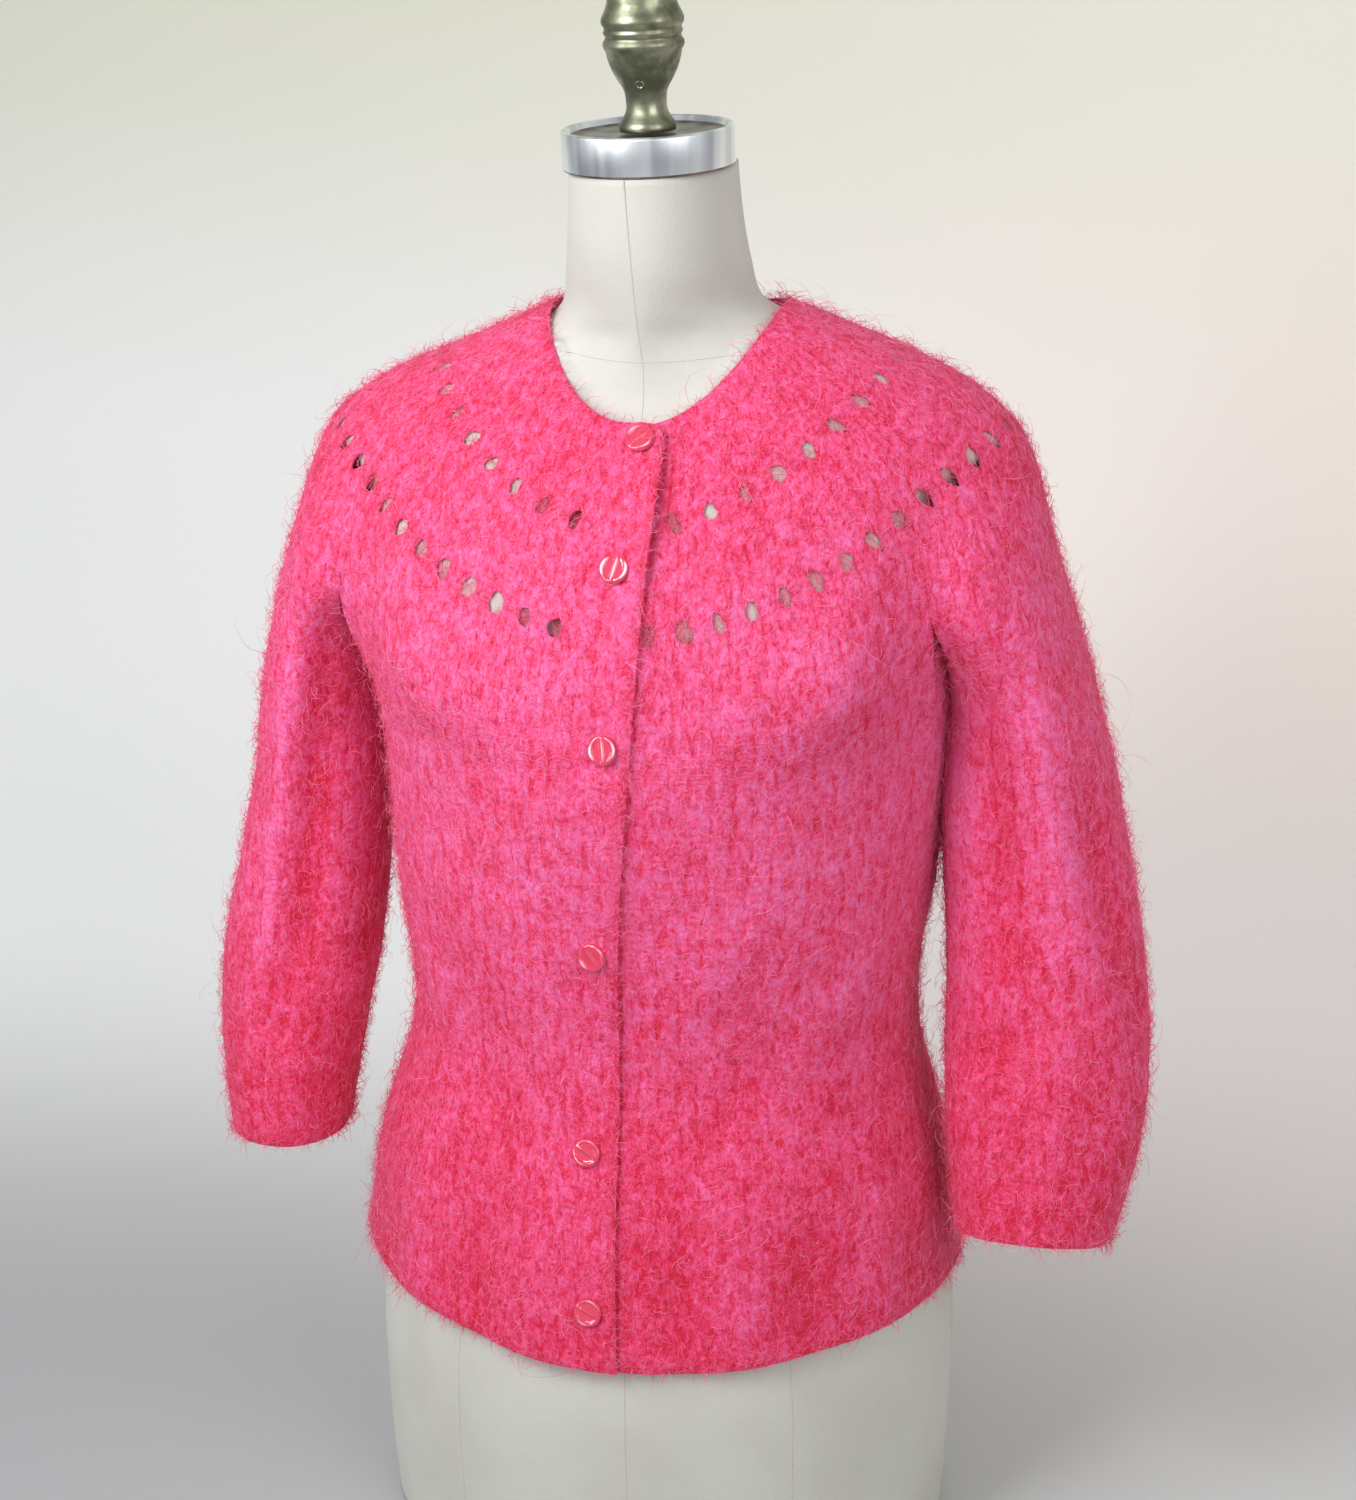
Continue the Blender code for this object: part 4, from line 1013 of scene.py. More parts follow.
def knitted_piece(name, grid, directions, rise, stitches, closed, flip, open_cells, shares):
    """A knitted wall on the skin, with stitches across and rows of stitches down as its UV map."""
    outer = grid + rise[..., None] * directions
    folds = fold_rise(grid) / FOLD_SCALE
    if flip:
        outer, stitches, folds = outer[:, ::-1], stitches[:, ::-1], folds[:, ::-1]
    columns = grid.shape[1] + 1 if closed else grid.shape[1]
    folds = np.concatenate([folds, folds[:, :1]], axis=1) if closed else folds
    bm = grid_sheet(outer, closed)
    down = np.cumsum(np.linalg.norm(np.diff(outer, axis=0, prepend=outer[:1]), axis=2), axis=0)
    down = down.mean(axis=1) / STITCH_HEIGHT
    bm.verts.ensure_lookup_table()
    across = np.concatenate([stitches, stitches[:, -1:] + 1.0 / FINER], axis=1) if closed else stitches
    layer = bm.loops.layers.uv.new("stitches")
    # The attribute fold carries each fold's rise, for the wool's painted light and shade on ridges and
    # troughs.
    crease = bm.verts.layers.float.new("fold")
    for vert, value in zip(bm.verts, folds.ravel()):
        vert[crease] = value
    doomed = []
    for face in bm.faces:
        indices = [vert.index for vert in face.verts]
        for loop in face.loops:
            row, column = divmod(loop.vert.index, columns)
            loop[layer].uv = (across[row, column], down[row])
        if (min(indices) // columns, min(indices) % columns) in open_cells:
            doomed.append(face)
        face.smooth = True
    bmesh.ops.delete(bm, geom=doomed, context="FACES_ONLY")
    if closed:
        bmesh.ops.remove_doubles(bm, verts=bm.verts, dist=0.00002)
    mesh = bpy.data.meshes.new(name)
    bm.to_mesh(mesh)
    bm.free()
    mesh.materials.append(wool)
    piece = bpy.data.objects.new(name, mesh)
    collection.objects.link(piece)
    thicken(piece, shares)
    return piece


def stitch_numbers(grid, zones=None):
    """Stitches across, counted by columns, with more to a column in the lower zones of the yoke."""
    numbers = np.tile(np.arange(grid.shape[1]) / FINER, (len(grid), 1))
    if zones is not None:
        numbers = numbers * zones[:, None]
    return numbers


print("wall:", WALL * 1000, "mm")

# %% [markdown]
# ## All the knitted pieces
# The yoke, back, fronts and sleeves take their parts of the grids, and both bands take the strip
# down the front. The upper band is rounded at its free top corner. Its free edge stands off a
# little, most between the top two buttons.

# %% All the knitted pieces
BACK_END = SIDE_COLUMNS + BACK_COLUMNS
GAPE_HEIGHT = 0.655
GAPE_RUN = 0.030
GAPE_LEAST = 0.0006
GAPE_MOST = 0.0050
CORNER_RADIUS = 0.017
CORNER_ROWS = 14
yoke_zones = np.select([YOKE_ROWS < 2.0, YOKE_ROWS < 4.0], [1.0, 1.5], 2.0)
yoke_grid, yoke_holes, eyelets = pierce(skin["yoke"])
print("open cells in the yoke:", len(yoke_holes))


def round_corner(grid):
    """Round the band's free top corner: the nearer the edge, the lower a column starts."""
    moved = grid.copy()
    distance = np.linalg.norm(grid - grid[:, -1:], axis=2)
    for row in range(CORNER_ROWS):
        share = 1.0 - row / CORNER_ROWS
        near = np.clip(1.0 - distance[row] / CORNER_RADIUS, 0.0, 1.0)
        drop = CORNER_RADIUS * (1.0 - np.sqrt(1.0 - near**2)) * share
        way = unit(grid[row + 1] - grid[row])
        moved[row] += drop[:, None] * way
    return moved


def band_gape(grid):
    """The free edge of the upper band stands off the cloth, most between the top two buttons."""
    across = np.linspace(0.0, 1.0, grid.shape[1])[None, :] ** 2
    height = grid[..., 2]
    open_top = np.exp(-(((height - GAPE_HEIGHT) / GAPE_RUN) ** 2))
    return across * (GAPE_LEAST + (GAPE_MOST - GAPE_LEAST) * open_top)


Panel = namedtuple("Panel", "name grid directions rise stitches closed flip holes borders")
body, body_out, body_rise = skin["body"], normals["body"], relief["body"]
band, band_out, band_rise = skin["band"], normals["band"], relief["band"]
right_front = slice(BACK_END, None)
left_front = slice(0, SIDE_COLUMNS + 1)
back = slice(SIDE_COLUMNS, BACK_END + 1)
PANELS = [
    Panel("yoke", yoke_grid, normals["yoke"], relief["yoke"] + lap_lift(skin["yoke"]),
          stitch_numbers(yoke_grid, yoke_zones), False, False, yoke_holes, ("top",)),
    Panel("left_front", body[:, left_front], body_out[:, left_front], body_rise[:, left_front],
          stitch_numbers(body[:, left_front]), False, False, (), ("bottom",)),
    Panel("back", body[:, back], body_out[:, back], body_rise[:, back],
          stitch_numbers(body[:, back]), False, False, (), ("bottom",)),
    Panel("right_front", body[:, right_front], body_out[:, right_front],
          body_rise[:, right_front] + lap_lift(body[:, right_front]),
          stitch_numbers(body[:, right_front]), False, False, (), ("bottom",)),
    Panel("left_sleeve", skin["left_sleeve"], normals["left_sleeve"], relief["left_sleeve"],
          stitch_numbers(skin["left_sleeve"]), True, False, (), ("bottom",)),
    Panel("right_sleeve", skin["right_sleeve"], normals["right_sleeve"], relief["right_sleeve"],
          stitch_numbers(skin["right_sleeve"]), True, True, (), ("bottom",)),
    Panel("left_band", band, band_out, band_rise,
          stitch_numbers(band), False, False, (), ("top", "bottom")),
    Panel("right_band", round_corner(band), band_out, band_rise + LAP + band_gape(band),
          stitch_numbers(band), False, False, (), ("top", "bottom", "side")),
]


def wall_shares(panel):
    """Share of the full wall in each row: the yoke thins out below its neck edge."""
    rows = len(panel.grid)
    if panel.name != "yoke":
        return np.ones(rows)
    return THIN + (1.0 - THIN) * np.clip(1.0 - YOKE_ROWS / 0.5, 0.0, 1.0)


knitted = {}
for panel in PANELS:
    knitted[panel.name] = knitted_piece(
        f"knit_{panel.name}", panel.grid, panel.directions, roll_edges(panel.rise, panel.borders),
        panel.stitches, panel.closed, panel.flip, panel.holes, wall_shares(panel),
    )
    print(panel.name, len(knitted[panel.name].data.polygons), "faces")

# %% [markdown]
# ## The halo
# Brushing pulls fibres out of the yarn. Most lie down in a tangle a few millimetres deep, and a
# few stand up as long curls that catch the light. A hair system would be lost in the exported
# model, so they are one joined mesh for each knitted piece: thin tapering ribbons whose roots are
# scattered over the cloth, thicker round holes and along free edges. A veil of fibres also
# crosses each eyelet. The lower band has none, since the upper one hides it.

# %% Loose fibres
Halo = namedtuple("Halo", "per_square_metre steps length spread lift settle curl width")
TANGLE = Halo(116000, 3, 0.0076, 0.40, 0.60, -0.05, 0.70, 0.00036)
STRAYS = Halo(4600, 6, 0.0170, 0.45, 0.60, 0.02, 0.45, 0.00025)
WITH_STITCHES = 0.55
VEIL_STEPS = 5
LEAST_VEIL = 4
MOST_VEIL = 34
FULL_VEIL = 26
VEIL_MIDDLE = 0.045
COMB_TOWARDS = np.array([0.54, 0.0, 0.84])
BORDER_BONUS = 5.0
RIM_BONUS = 3.0
SHORTEST = 0.3
LONGEST = 2.2
COMBED_SPREAD = 0.5
UPRIGHT_SPREAD = 0.45
STAND_SPREAD = 0.30
ROOT_DEPTH = 0.0004
LIFT_JITTER = 0.12
HEADING_JITTER = 0.15
VEIL_POWER = 1.4
VEIL_TURN = 0.7
VEIL_BOW = 0.25
VEIL_REACH = (1.05, 1.7)
VEIL_LEVEL = (-0.0006, 0.0012)
YOKE_MIDDLE = np.array([0.0, 0.0, 0.5])


def comb_share(root):
    """How many fibres in a place lie combed: many on the left of the body, few elsewhere."""
    across = np.clip((root[:, 0] + 0.06) / 0.12, 0.0, 1.0)
    up = np.clip((0.68 - root[:, 2]) / 0.10, 0.0, 1.0)
    return 0.12 + 0.50 * across * up * (np.abs(root[:, 0]) < 0.17)


def cell_areas(grid):
    """The area of every cell of a grid."""
    side_a = grid[1:, :-1] - grid[:-1, :-1]
    side_b = grid[:-1, 1:] - grid[:-1, :-1]
    return np.linalg.norm(np.cross(side_a, side_b), axis=2)


def scatter(grid, directions, weight, count, rng):
    """Roots over a grid, with the outward, across and downward directions there."""
    chosen = rng.choice(weight.size, size=count, p=(weight / weight.sum()).ravel())
    row, column = np.unravel_index(chosen, weight.shape)
    r, c = rng.random((2, count, 1))
    corners = [(0, 0, (1 - r) * (1 - c)), (1, 0, r * (1 - c)), (0, 1, (1 - r) * c), (1, 1, r * c)]
    root = sum(share * grid[row + i, column + j] for i, j, share in corners)
    out = unit(sum(share * directions[row + i, column + j] for i, j, share in corners))
    across = grid[row, column + 1] - grid[row, column]
    across = unit(across - (across * out).sum(axis=1, keepdims=True) * out)
    return root, out, across, np.cross(out, across)


def fibres_of(grid, directions, panel, halo, rng):
    """Points of every fibre of one kind, as an array of (fibre, step)."""
    weight = cell_areas(grid)
    count = int(weight.sum() * halo.per_square_metre)
    open_cells = np.zeros(weight.shape, dtype=bool)
    for row, column in panel.holes:
        open_cells[row, column] = True
    rim = open_cells.copy()
    for shift in ((1, 0), (-1, 0), (0, 1), (0, -1), (1, 1), (-1, -1), (1, -1), (-1, 1)):
        rim |= np.roll(open_cells, shift, axis=(0, 1))
    weight[rim] *= RIM_BONUS
    weight[open_cells] = 0.0
    if "top" in panel.borders:
        weight[0] *= BORDER_BONUS
    if "bottom" in panel.borders:
        weight[-1] *= BORDER_BONUS
    if "side" in panel.borders:
        weight[:, -1] *= BORDER_BONUS
    root, out, across, along = scatter(grid, directions, weight, count, rng)
    length = halo.length * np.exp(halo.spread * rng.standard_normal(count))
    length = np.clip(length, SHORTEST * halo.length, LONGEST * halo.length)
    heading = rng.uniform(0.0, 2.0 * math.pi, count)
    combed = rng.random(count) < comb_share(root)
    uphill = np.arctan2((along * COMB_TOWARDS).sum(axis=1), (across * COMB_TOWARDS).sum(axis=1))
    heading = np.where(combed, uphill + COMBED_SPREAD * rng.standard_normal(count), heading)
    upright = ~combed & (rng.random(count) < WITH_STITCHES)
    way_up = math.pi / 2.0 + math.pi * rng.integers(0, 2, count)
    heading = np.where(upright, way_up + UPRIGHT_SPREAD * rng.standard_normal(count), heading)
    bend = halo.curl * rng.standard_normal(count)
    stand = halo.lift + STAND_SPREAD * rng.standard_normal(count)
    points = [root - ROOT_DEPTH * out]
    for step in range(halo.steps):
        share = step / (halo.steps - 1)
        lift = stand + (halo.settle - stand) * share + LIFT_JITTER * rng.standard_normal(count)
        level = np.cos(heading)[:, None] * across + np.sin(heading)[:, None] * along
        way = np.cos(lift)[:, None] * level + np.sin(lift)[:, None] * out
        points.append(points[-1] + (length / halo.steps)[:, None] * way)
        heading = heading + bend + HEADING_JITTER * rng.standard_normal(count)
    return np.stack(points, axis=1)


def ribbons(centres, width, rng):
    """Corner points, quads and UVs of tapering ribbons along the given centres."""
    count, steps = centres.shape[:2]
    way = unit(np.gradient(centres, axis=1))
    facing = unit(rng.standard_normal((count, 1, 3)))
    aside = unit(np.cross(way, facing))
    taper = 1.0 - 0.75 * np.linspace(0.0, 1.0, steps) ** 2
    half = 0.5 * width * taper[None, :, None]
    points = np.stack([centres - half * aside, centres + half * aside], axis=2).reshape(-1, 3)
    first = np.arange(count)[:, None] * (2 * steps) + 2 * np.arange(steps - 1)[None, :]
    quads = np.stack([first, first + 1, first + 3, first + 2], axis=2).reshape(-1, 4)
    tone = np.repeat(rng.random(count), 2 * steps)
    share = np.tile(np.repeat(np.linspace(0.0, 1.0, steps), 2), count)
    return points, quads, np.column_stack([tone, share])[quads.ravel()]


def fibre_mesh(name, strands, widths, rng):
    """One joined mesh of several kinds of fibre."""
    parts = [ribbons(centres, width, rng) for centres, width in zip(strands, widths)]
    point_lists, quad_lists, uv_lists = zip(*parts)
    starts = np.cumsum([0] + [len(points) for points in point_lists])
    points = np.concatenate(point_lists)
    quads = np.concatenate([quads + start for start, quads in zip(starts, quad_lists)])
    uv = np.concatenate(uv_lists)
    mesh = bpy.data.meshes.new(name)
    mesh.vertices.add(len(points))
    mesh.vertices.foreach_set("co", points.ravel())
    mesh.loops.add(quads.size)
    mesh.loops.foreach_set("vertex_index", quads.ravel())
    mesh.polygons.add(len(quads))
    mesh.polygons.foreach_set("loop_start", np.arange(0, quads.size, 4))
    mesh.update(calc_edges=True)
    layer = mesh.uv_layers.new(name="fibre")
    layer.data.foreach_set("uv", uv.ravel())
    mesh.materials.append(hair)
    piece = bpy.data.objects.new(name, mesh)
    collection.objects.link(piece)
    return piece


def veil(holes, rng):
    """Fibres that cross the holes, with more near the middle of the front and back."""
    lines = []
    for hole in holes:
        out = unit(np.cross(hole.along, hole.across))
        out = out if out @ (hole.centre - YOKE_MIDDLE) > 0.0 else -out
        least = FULL_VEIL if abs(hole.centre[0]) < VEIL_MIDDLE else LEAST_VEIL
        for strand in range(int(least + (MOST_VEIL - LEAST_VEIL) * rng.random() ** VEIL_POWER)):
            start = rng.uniform(0.0, 2.0 * math.pi)
            end = start + math.pi + rng.normal(0.0, VEIL_TURN)
            bow = rng.normal(0.0, VEIL_BOW)
            share = np.linspace(0.0, 1.0, VEIL_STEPS)[:, None]
            reach = rng.uniform(*VEIL_REACH)
            side = math.cos(start) * (1 - share) + math.cos(end) * share + bow * share * (1 - share) * 4
            down = math.sin(start) * (1 - share) + math.sin(end) * share - bow * share * (1 - share) * 4
            lines.append(
                hole.centre + reach * side * hole.half_width * hole.across
                + reach * down * hole.half_height * hole.along
                + rng.uniform(*VEIL_LEVEL) * out
            )
    return np.array(lines)


fuzz = {}
total = 0
for number, panel in enumerate(PANELS):
    if panel.name == "left_band":
        continue
    rng = np.random.default_rng(100 + number)
    directions = panel.directions
    surface = panel.grid + panel.rise[..., None] * directions
    if panel.closed:
        surface = np.concatenate([surface, surface[:, :1]], axis=1)
        directions = np.concatenate([directions, directions[:, :1]], axis=1)
    strands = [fibres_of(surface, directions, panel, halo, rng) for halo in (TANGLE, STRAYS)]
    widths = [TANGLE.width, STRAYS.width]
    if panel.name == "yoke":
        strands.append(veil(eyelets, rng))
        widths.append(TANGLE.width)
    fuzz[panel.name] = fibre_mesh(f"fuzz_{panel.name}", strands, widths, rng)
    total += 2 * len(fuzz[panel.name].data.polygons)
    print(panel.name, "fibres:", sum(map(len, strands)))
print("triangles in the halo:", total)

# %% [markdown]
# ## Canvas
# The dress form is a hard shell under cream canvas. The cloth is plain woven, a little stained,
# and matt, so two stretched noises crossing each other are enough for its weave.

# %% Canvas
CANVAS_COLOUR = (0.56, 0.56, 0.515, 1.0)
CANVAS_DARK = (0.45, 0.435, 0.39, 1.0)
canvas, tree, output = new_material("canvas")
place = add_node(tree, "ShaderNodeTexCoord").outputs["Object"]
weave = noise_on(tree, place, 900.0, 2.0, (1.0, 1.0, 0.3))
cross_weave = noise_on(tree, place, 900.0, 2.0, (0.3, 0.3, 1.0))
stains = noise_on(tree, place, 14.0, 4.0)
colour = mix_colours(tree, ramp(tree, stains, 0.35, 0.75, 0.0, 0.5), CANVAS_COLOUR, CANVAS_DARK)
shader = principled(tree, colour, Roughness=0.8, Specular_IOR_Level=0.3)
add_bump(tree, shader, math_node(tree, "ADD", weave, cross_weave), 0.35, 0.0004)
tree.links.new(shader.outputs[0], output.inputs[0])
print("canvas nodes:", len(tree.nodes))

# %% [markdown]
# ## Torso
# The form is a stack of closed loops from hips to neck, with the same values as its solid. Under
# the yoke it is then filled out towards the cloth, so that the eyelets show canvas close behind
# them. The filling ends about at the inside of the cloth's wall, and fades out under the arms and
# at the neckline.

# %% Torso
FormLoop = namedtuple("FormLoop", "height half_width side_y front back squareness lean")
FORM_LOOPS = [
    FormLoop(0.000, 0.1760, -0.008, -0.1500, 0.1120, 2.20, 0.000),
    FormLoop(0.060, 0.1790, -0.008, -0.1540, 0.1170, 2.20, 0.000),
    FormLoop(0.175, 0.1765, -0.008, -0.1540, 0.1180, 2.10, 0.000),
    FormLoop(0.250, 0.1580, -0.008, -0.1330, 0.0960, 2.20, 0.000),
    FormLoop(0.335, 0.1380, -0.008, -0.1090, 0.0700, 2.20, 0.000),
    FormLoop(0.425, 0.1440, -0.008, -0.1170, 0.0780, 2.20, 0.000),
    FormLoop(0.520, 0.1490, -0.006, -0.1280, 0.0890, 2.20, 0.000),
    FormLoop(0.590, 0.1460, -0.004, -0.1200, 0.0950, 2.20, 0.010),
    FormLoop(0.643, 0.1600, -0.002, -0.1070, 0.0910, 2.20, 0.025),
    FormLoop(0.674, 0.1700, 0.000, -0.0945, 0.0820, 2.10, 0.035),
    FormLoop(0.697, 0.1690, 0.000, -0.0815, 0.0730, 2.00, 0.045),
    FormLoop(0.714, 0.1490, 0.000, -0.0712, 0.0635, 1.85, 0.045),
    FormLoop(0.729, 0.1180, 0.000, -0.0684, 0.0530, 1.42, 0.045),
    FormLoop(0.743, 0.0865, 0.000, -0.0690, 0.0420, 1.28, 0.045),
    FormLoop(0.756, 0.0560, -0.002, -0.0705, 0.0310, 1.70, 0.045),
    FormLoop(0.777, 0.0503, -0.008, -0.0730, 0.0230, 2.00, 0.040),
    FormLoop(0.829, 0.0452, -0.020, -0.0775, 0.0135, 2.00, 0.026),
]
FORM_COLUMNS = 128
FORM_ROW_STEP = 0.125
NECK_Y = -0.032
RING_TILT_FORWARD = math.radians(4.0)
RING_TILT_SIDEWAYS = math.radians(-1.5)


def form_loop(row):
    """One closed section of the dress form."""
    width = row.half_width
    x, y = plan(width, width, row.side_y, row.front, row.back, row.squareness)
    return np.column_stack([x, y, row.height + row.lean * x])


def finish_piece(name, bm, look, smooth=True):
    """Turn a bmesh into a piece with one material."""
    for face in bm.faces:
        face.smooth = smooth
    mesh = bpy.data.meshes.new(name)
    bm.to_mesh(mesh)
    bm.free()
    mesh.materials.append(look)
    piece = bpy.data.objects.new(name, mesh)
    collection.objects.link(piece)
    return piece


form_guides = []
for row in FORM_LOOPS:
    loop = form_loop(row)
    total = lengths_round(loop)[1][-1]
    form_guides.append(walk(loop, np.linspace(0.0, total, FORM_COLUMNS + 1)[:-1]))
form_places = np.arange(0.0, len(FORM_LOOPS) - 1 + FORM_ROW_STEP / 2.0, FORM_ROW_STEP)
form_grid = smooth_rows(form_guides, form_places)[::-1]
form_grid[-1, :, 2] = FORM_LOOPS[0].height
form_grid[0, :, 2] = FORM_LOOPS[-1].height + math.tan(RING_TILT_FORWARD) * (form_grid[0, :, 1] - NECK_Y)
form_grid[0, :, 2] -= math.tan(RING_TILT_SIDEWAYS) * form_grid[0, :, 0]

bpy.context.view_layer.update()
depsgraph = bpy.context.evaluated_depsgraph_get()
cloth_trees = [BVHTree.FromObject(piece, depsgraph) for piece in knitted.values()]
REST_GAP = 0.0002
DEEPEST = 0.0007
REACH = 0.030
MORE_REACH_AT_MIDDLE = 0.030
MORE_REACH_ABOVE = 0.025
REACH_RUN = 0.010
LEAST_ASIDE = 0.004
ASIDE_SHARE = 0.35
ASIDE_RUN = 0.002
ARM_SIDE_RUN = 0.025
ARM_TOP_RUN = 0.03
YOKE_EDGE_RUN = 0.02
LOOK_AHEAD = 0.10
Edge = namedtuple("Edge", "at run")
MIDDLE_SIDE = Edge(0.13, 0.03)
MIDDLE_FOOT = Edge(0.54, 0.04)
UPPER_FOOT = Edge(0.62, 0.03)
BAND_SIDE = Edge(0.024, 0.008)
FILLING_FOOT = Edge(0.50, 0.06)
NECKLINE = Edge(0.748, 0.014)
ArmPlace = namedtuple("ArmPlace", "side top yoke_edge")
FRONT_ARM = ArmPlace(0.132, 0.668, 0.578)
BACK_ARM = ArmPlace(0.108, 0.670, 0.622)


def step_up(value, start, run):
    """Nothing up to start, then rising to one over the run."""
    return np.clip((value - start) / run, 0.0, 1.0)


def step_down(value, end, run):
    """One at first, falling to nothing at the end of the run."""
    return np.clip((end - value) / run, 0.0, 1.0)


def rest_cloth(point):
    """How far to move a point of the form out, so that the yoke rests on it."""
    near, found = normal_tree.find(Vector(point))[:2]
    direction = Vector(welded_normals[found])
    depth = (near - Vector(point)).dot(direction)
    width, height = abs(point[0]), point[2]
    arm = FRONT_ARM if point[1] < 0.0 else BACK_ARM
    at_middle = step_down(width, *MIDDLE_SIDE) * step_up(height, *MIDDLE_FOOT)
    reach = REACH + max(MORE_REACH_AT_MIDDLE * at_middle, MORE_REACH_ABOVE * step_up(height, *UPPER_FOOT))
    under_arm = step_up(width, arm.side, ARM_SIDE_RUN) * step_down(height, arm.top, ARM_TOP_RUN)
    thinned = step_up(height, arm.yoke_edge, YOKE_EDGE_RUN) * step_up(width, *BAND_SIDE)
    wall = WALL * (1.0 - (1.0 - THIN) * thinned)
    aside = (near - Vector(point) - depth * direction).length
    share = step_up(height, *FILLING_FOOT) * step_down(depth, reach, REACH_RUN)
    share *= step_down(aside, LEAST_ASIDE + ASIDE_SHARE * depth, ASIDE_RUN)
    share *= step_down(height, *NECKLINE)
    push = max(depth - wall - DEEPEST, 0.0) * share * (1.0 - under_arm)
    for cloth in cloth_trees:
        free = cloth.ray_cast(Vector(point), direction, LOOK_AHEAD)[3]
        if free is not None:
            push = min(push, free - DEEPEST)
    return direction * float(max(push - REST_GAP, 0.0))


for row in form_grid:
    for column, point in enumerate(row):
        row[column] = point + np.array(rest_cloth(point))
bm = grid_sheet(form_grid, closed=True)
bmesh.ops.remove_doubles(bm, verts=bm.verts, dist=0.00001)
bmesh.ops.holes_fill(bm, edges=[edge for edge in bm.edges if edge.is_boundary], sides=0)
bmesh.ops.recalc_face_normals(bm, faces=bm.faces)
torso = finish_piece("form_canvas", bm, canvas)
print("torso faces:", len(torso.data.polygons))

# %% [markdown]
# ## Seams of the canvas
# The canvas is sewn from panels. Its seams run down the middle of the front and back, down the
# sides and between them, and round the base of the neck. A line drawn only in the material would
# not be part of the mesh, so each seam is a thin four-sided cord along the form's own columns. Its
# darker colour is painted shadow, where the seam's groove lies in shade.

# %% Seams of the canvas
# Painted shadow: the cord is darker than the canvas, for the shade in the seam's groove.
seam_look, tree, output = new_material("seam_shadow")
shader = add_node(tree, "ShaderNodeBsdfPrincipled", Roughness=0.9)
shader.inputs["Base Color"].default_value = (0.50, 0.48, 0.43, 1.0)
tree.links.new(shader.outputs[0], output.inputs[0])
SEAM_RADIUS = 0.00024
NECK_SEAM_FRONT = 0.731
NECK_SEAM_RISE = 0.030
FRONT_SEAM_LEAN = 1.7
SEAM_COLUMNS = {0: 0.829, 64: 0.829, 32: 0.60, 96: 0.60, 13: 0.71, 115: 0.71, 51: 0.71, 77: 0.71}


def sewn_line(bm, points):
    """A thin four-sided cord along a line of points."""
    rings = []
    for number, point in enumerate(points):
        way = points[min(number + 1, len(points) - 1)] - points[max(number - 1, 0)]
        turn_to = Vector(way).to_track_quat("Z", "Y").to_matrix().to_4x4()
        ring = bmesh.ops.create_circle(
            bm, segments=4, radius=SEAM_RADIUS, matrix=Matrix.Translation(point) @ turn_to
        )["verts"]
        rings.append({edge for vert in ring for edge in vert.link_edges})
    for first, second in zip(rings, rings[1:]):
        bmesh.ops.bridge_loops(bm, edges=list(first | second))


bm = bmesh.new()
for column, top in SEAM_COLUMNS.items():
    line = form_grid[:, column]
    if column == 0:
        lean = np.interp(line[:, 2], (NECK_SEAM_FRONT, top), (0.45, -1.0))[:, None]
        line = line + lean * FRONT_SEAM_LEAN * (form_grid[:, 1] - line)
    sewn_line(bm, line[line[:, 2] <= top])
neck_line = []
for column in range(FORM_COLUMNS + 1):
    line = form_grid[::-1, column % FORM_COLUMNS]
    forward = math.cos(2 * math.pi * column / FORM_COLUMNS)
    wanted = NECK_SEAM_FRONT + NECK_SEAM_RISE * 0.5 * (1.0 - forward)
    neck_line.append([np.interp(wanted, line[:, 2], line[:, axis]) for axis in range(3)])
sewn_line(bm, np.array(neck_line))
bmesh.ops.recalc_face_normals(bm, faces=bm.faces)
form_seams = finish_piece("form_seams", bm, seam_look, smooth=False)
print("seam faces:", len(form_seams.data.polygons))

# %% [markdown]
# ## Metals
# The band round the neck is bright brushed metal, its sunken top is darker, and the finial is
# brass that has darkened with age. Noise drawn out up and down the band gives its streaks, and its
# broad bright and dull bands of colour are painted reflections. The band's faces that look down
# are darker, as painted shade, and Pointiness darkens the brass in its crevices, as patina and
# painted shade.

# %% Metals
# Painted reflections: the band's colour runs between these two in broad bright and dull bands.
METAL_REFLECTION_DULL = (0.56, 0.59, 0.64, 1.0)
METAL_REFLECTION_BRIGHT = (0.93, 0.97, 1.0, 1.0)
bright, tree, output = new_material("brushed_metal")
place = add_node(tree, "ShaderNodeTexCoord").outputs["Object"]
painted_reflection_bands = noise_on(tree, place, 60.0, 2.0, (1.0, 1.0, 0.02), 0.5)
lines = noise_on(tree, place, 700.0, 2.0, (1.0, 1.0, 0.01))
colour = mix_colours(tree, ramp(tree, painted_reflection_bands, 0.35, 0.62), METAL_REFLECTION_DULL, METAL_REFLECTION_BRIGHT)
shader = principled(tree, colour, Metallic=1.0, Roughness=0.34)
add_bump(tree, shader, lines, 0.25, 0.0002)
tree.links.new(shader.outputs[0], output.inputs[0])

# Darker metal for the ring's sunken top, and painted shade on its faces that look down.
DARK_METAL_DEEP = (0.10, 0.09, 0.08, 1.0)
DARK_METAL_PALE = (0.30, 0.29, 0.26, 1.0)
tarnished, tree, output = new_material("tarnished_top")
place = add_node(tree, "ShaderNodeTexCoord").outputs["Object"]
stains = noise_on(tree, place, 70.0, 4.0)
colour = mix_colours(tree, ramp(tree, stains, 0.3, 0.7), DARK_METAL_DEEP, DARK_METAL_PALE)
shader = principled(tree, colour, Metallic=0.9, Roughness=0.35)
tree.links.new(shader.outputs[0], output.inputs[0])

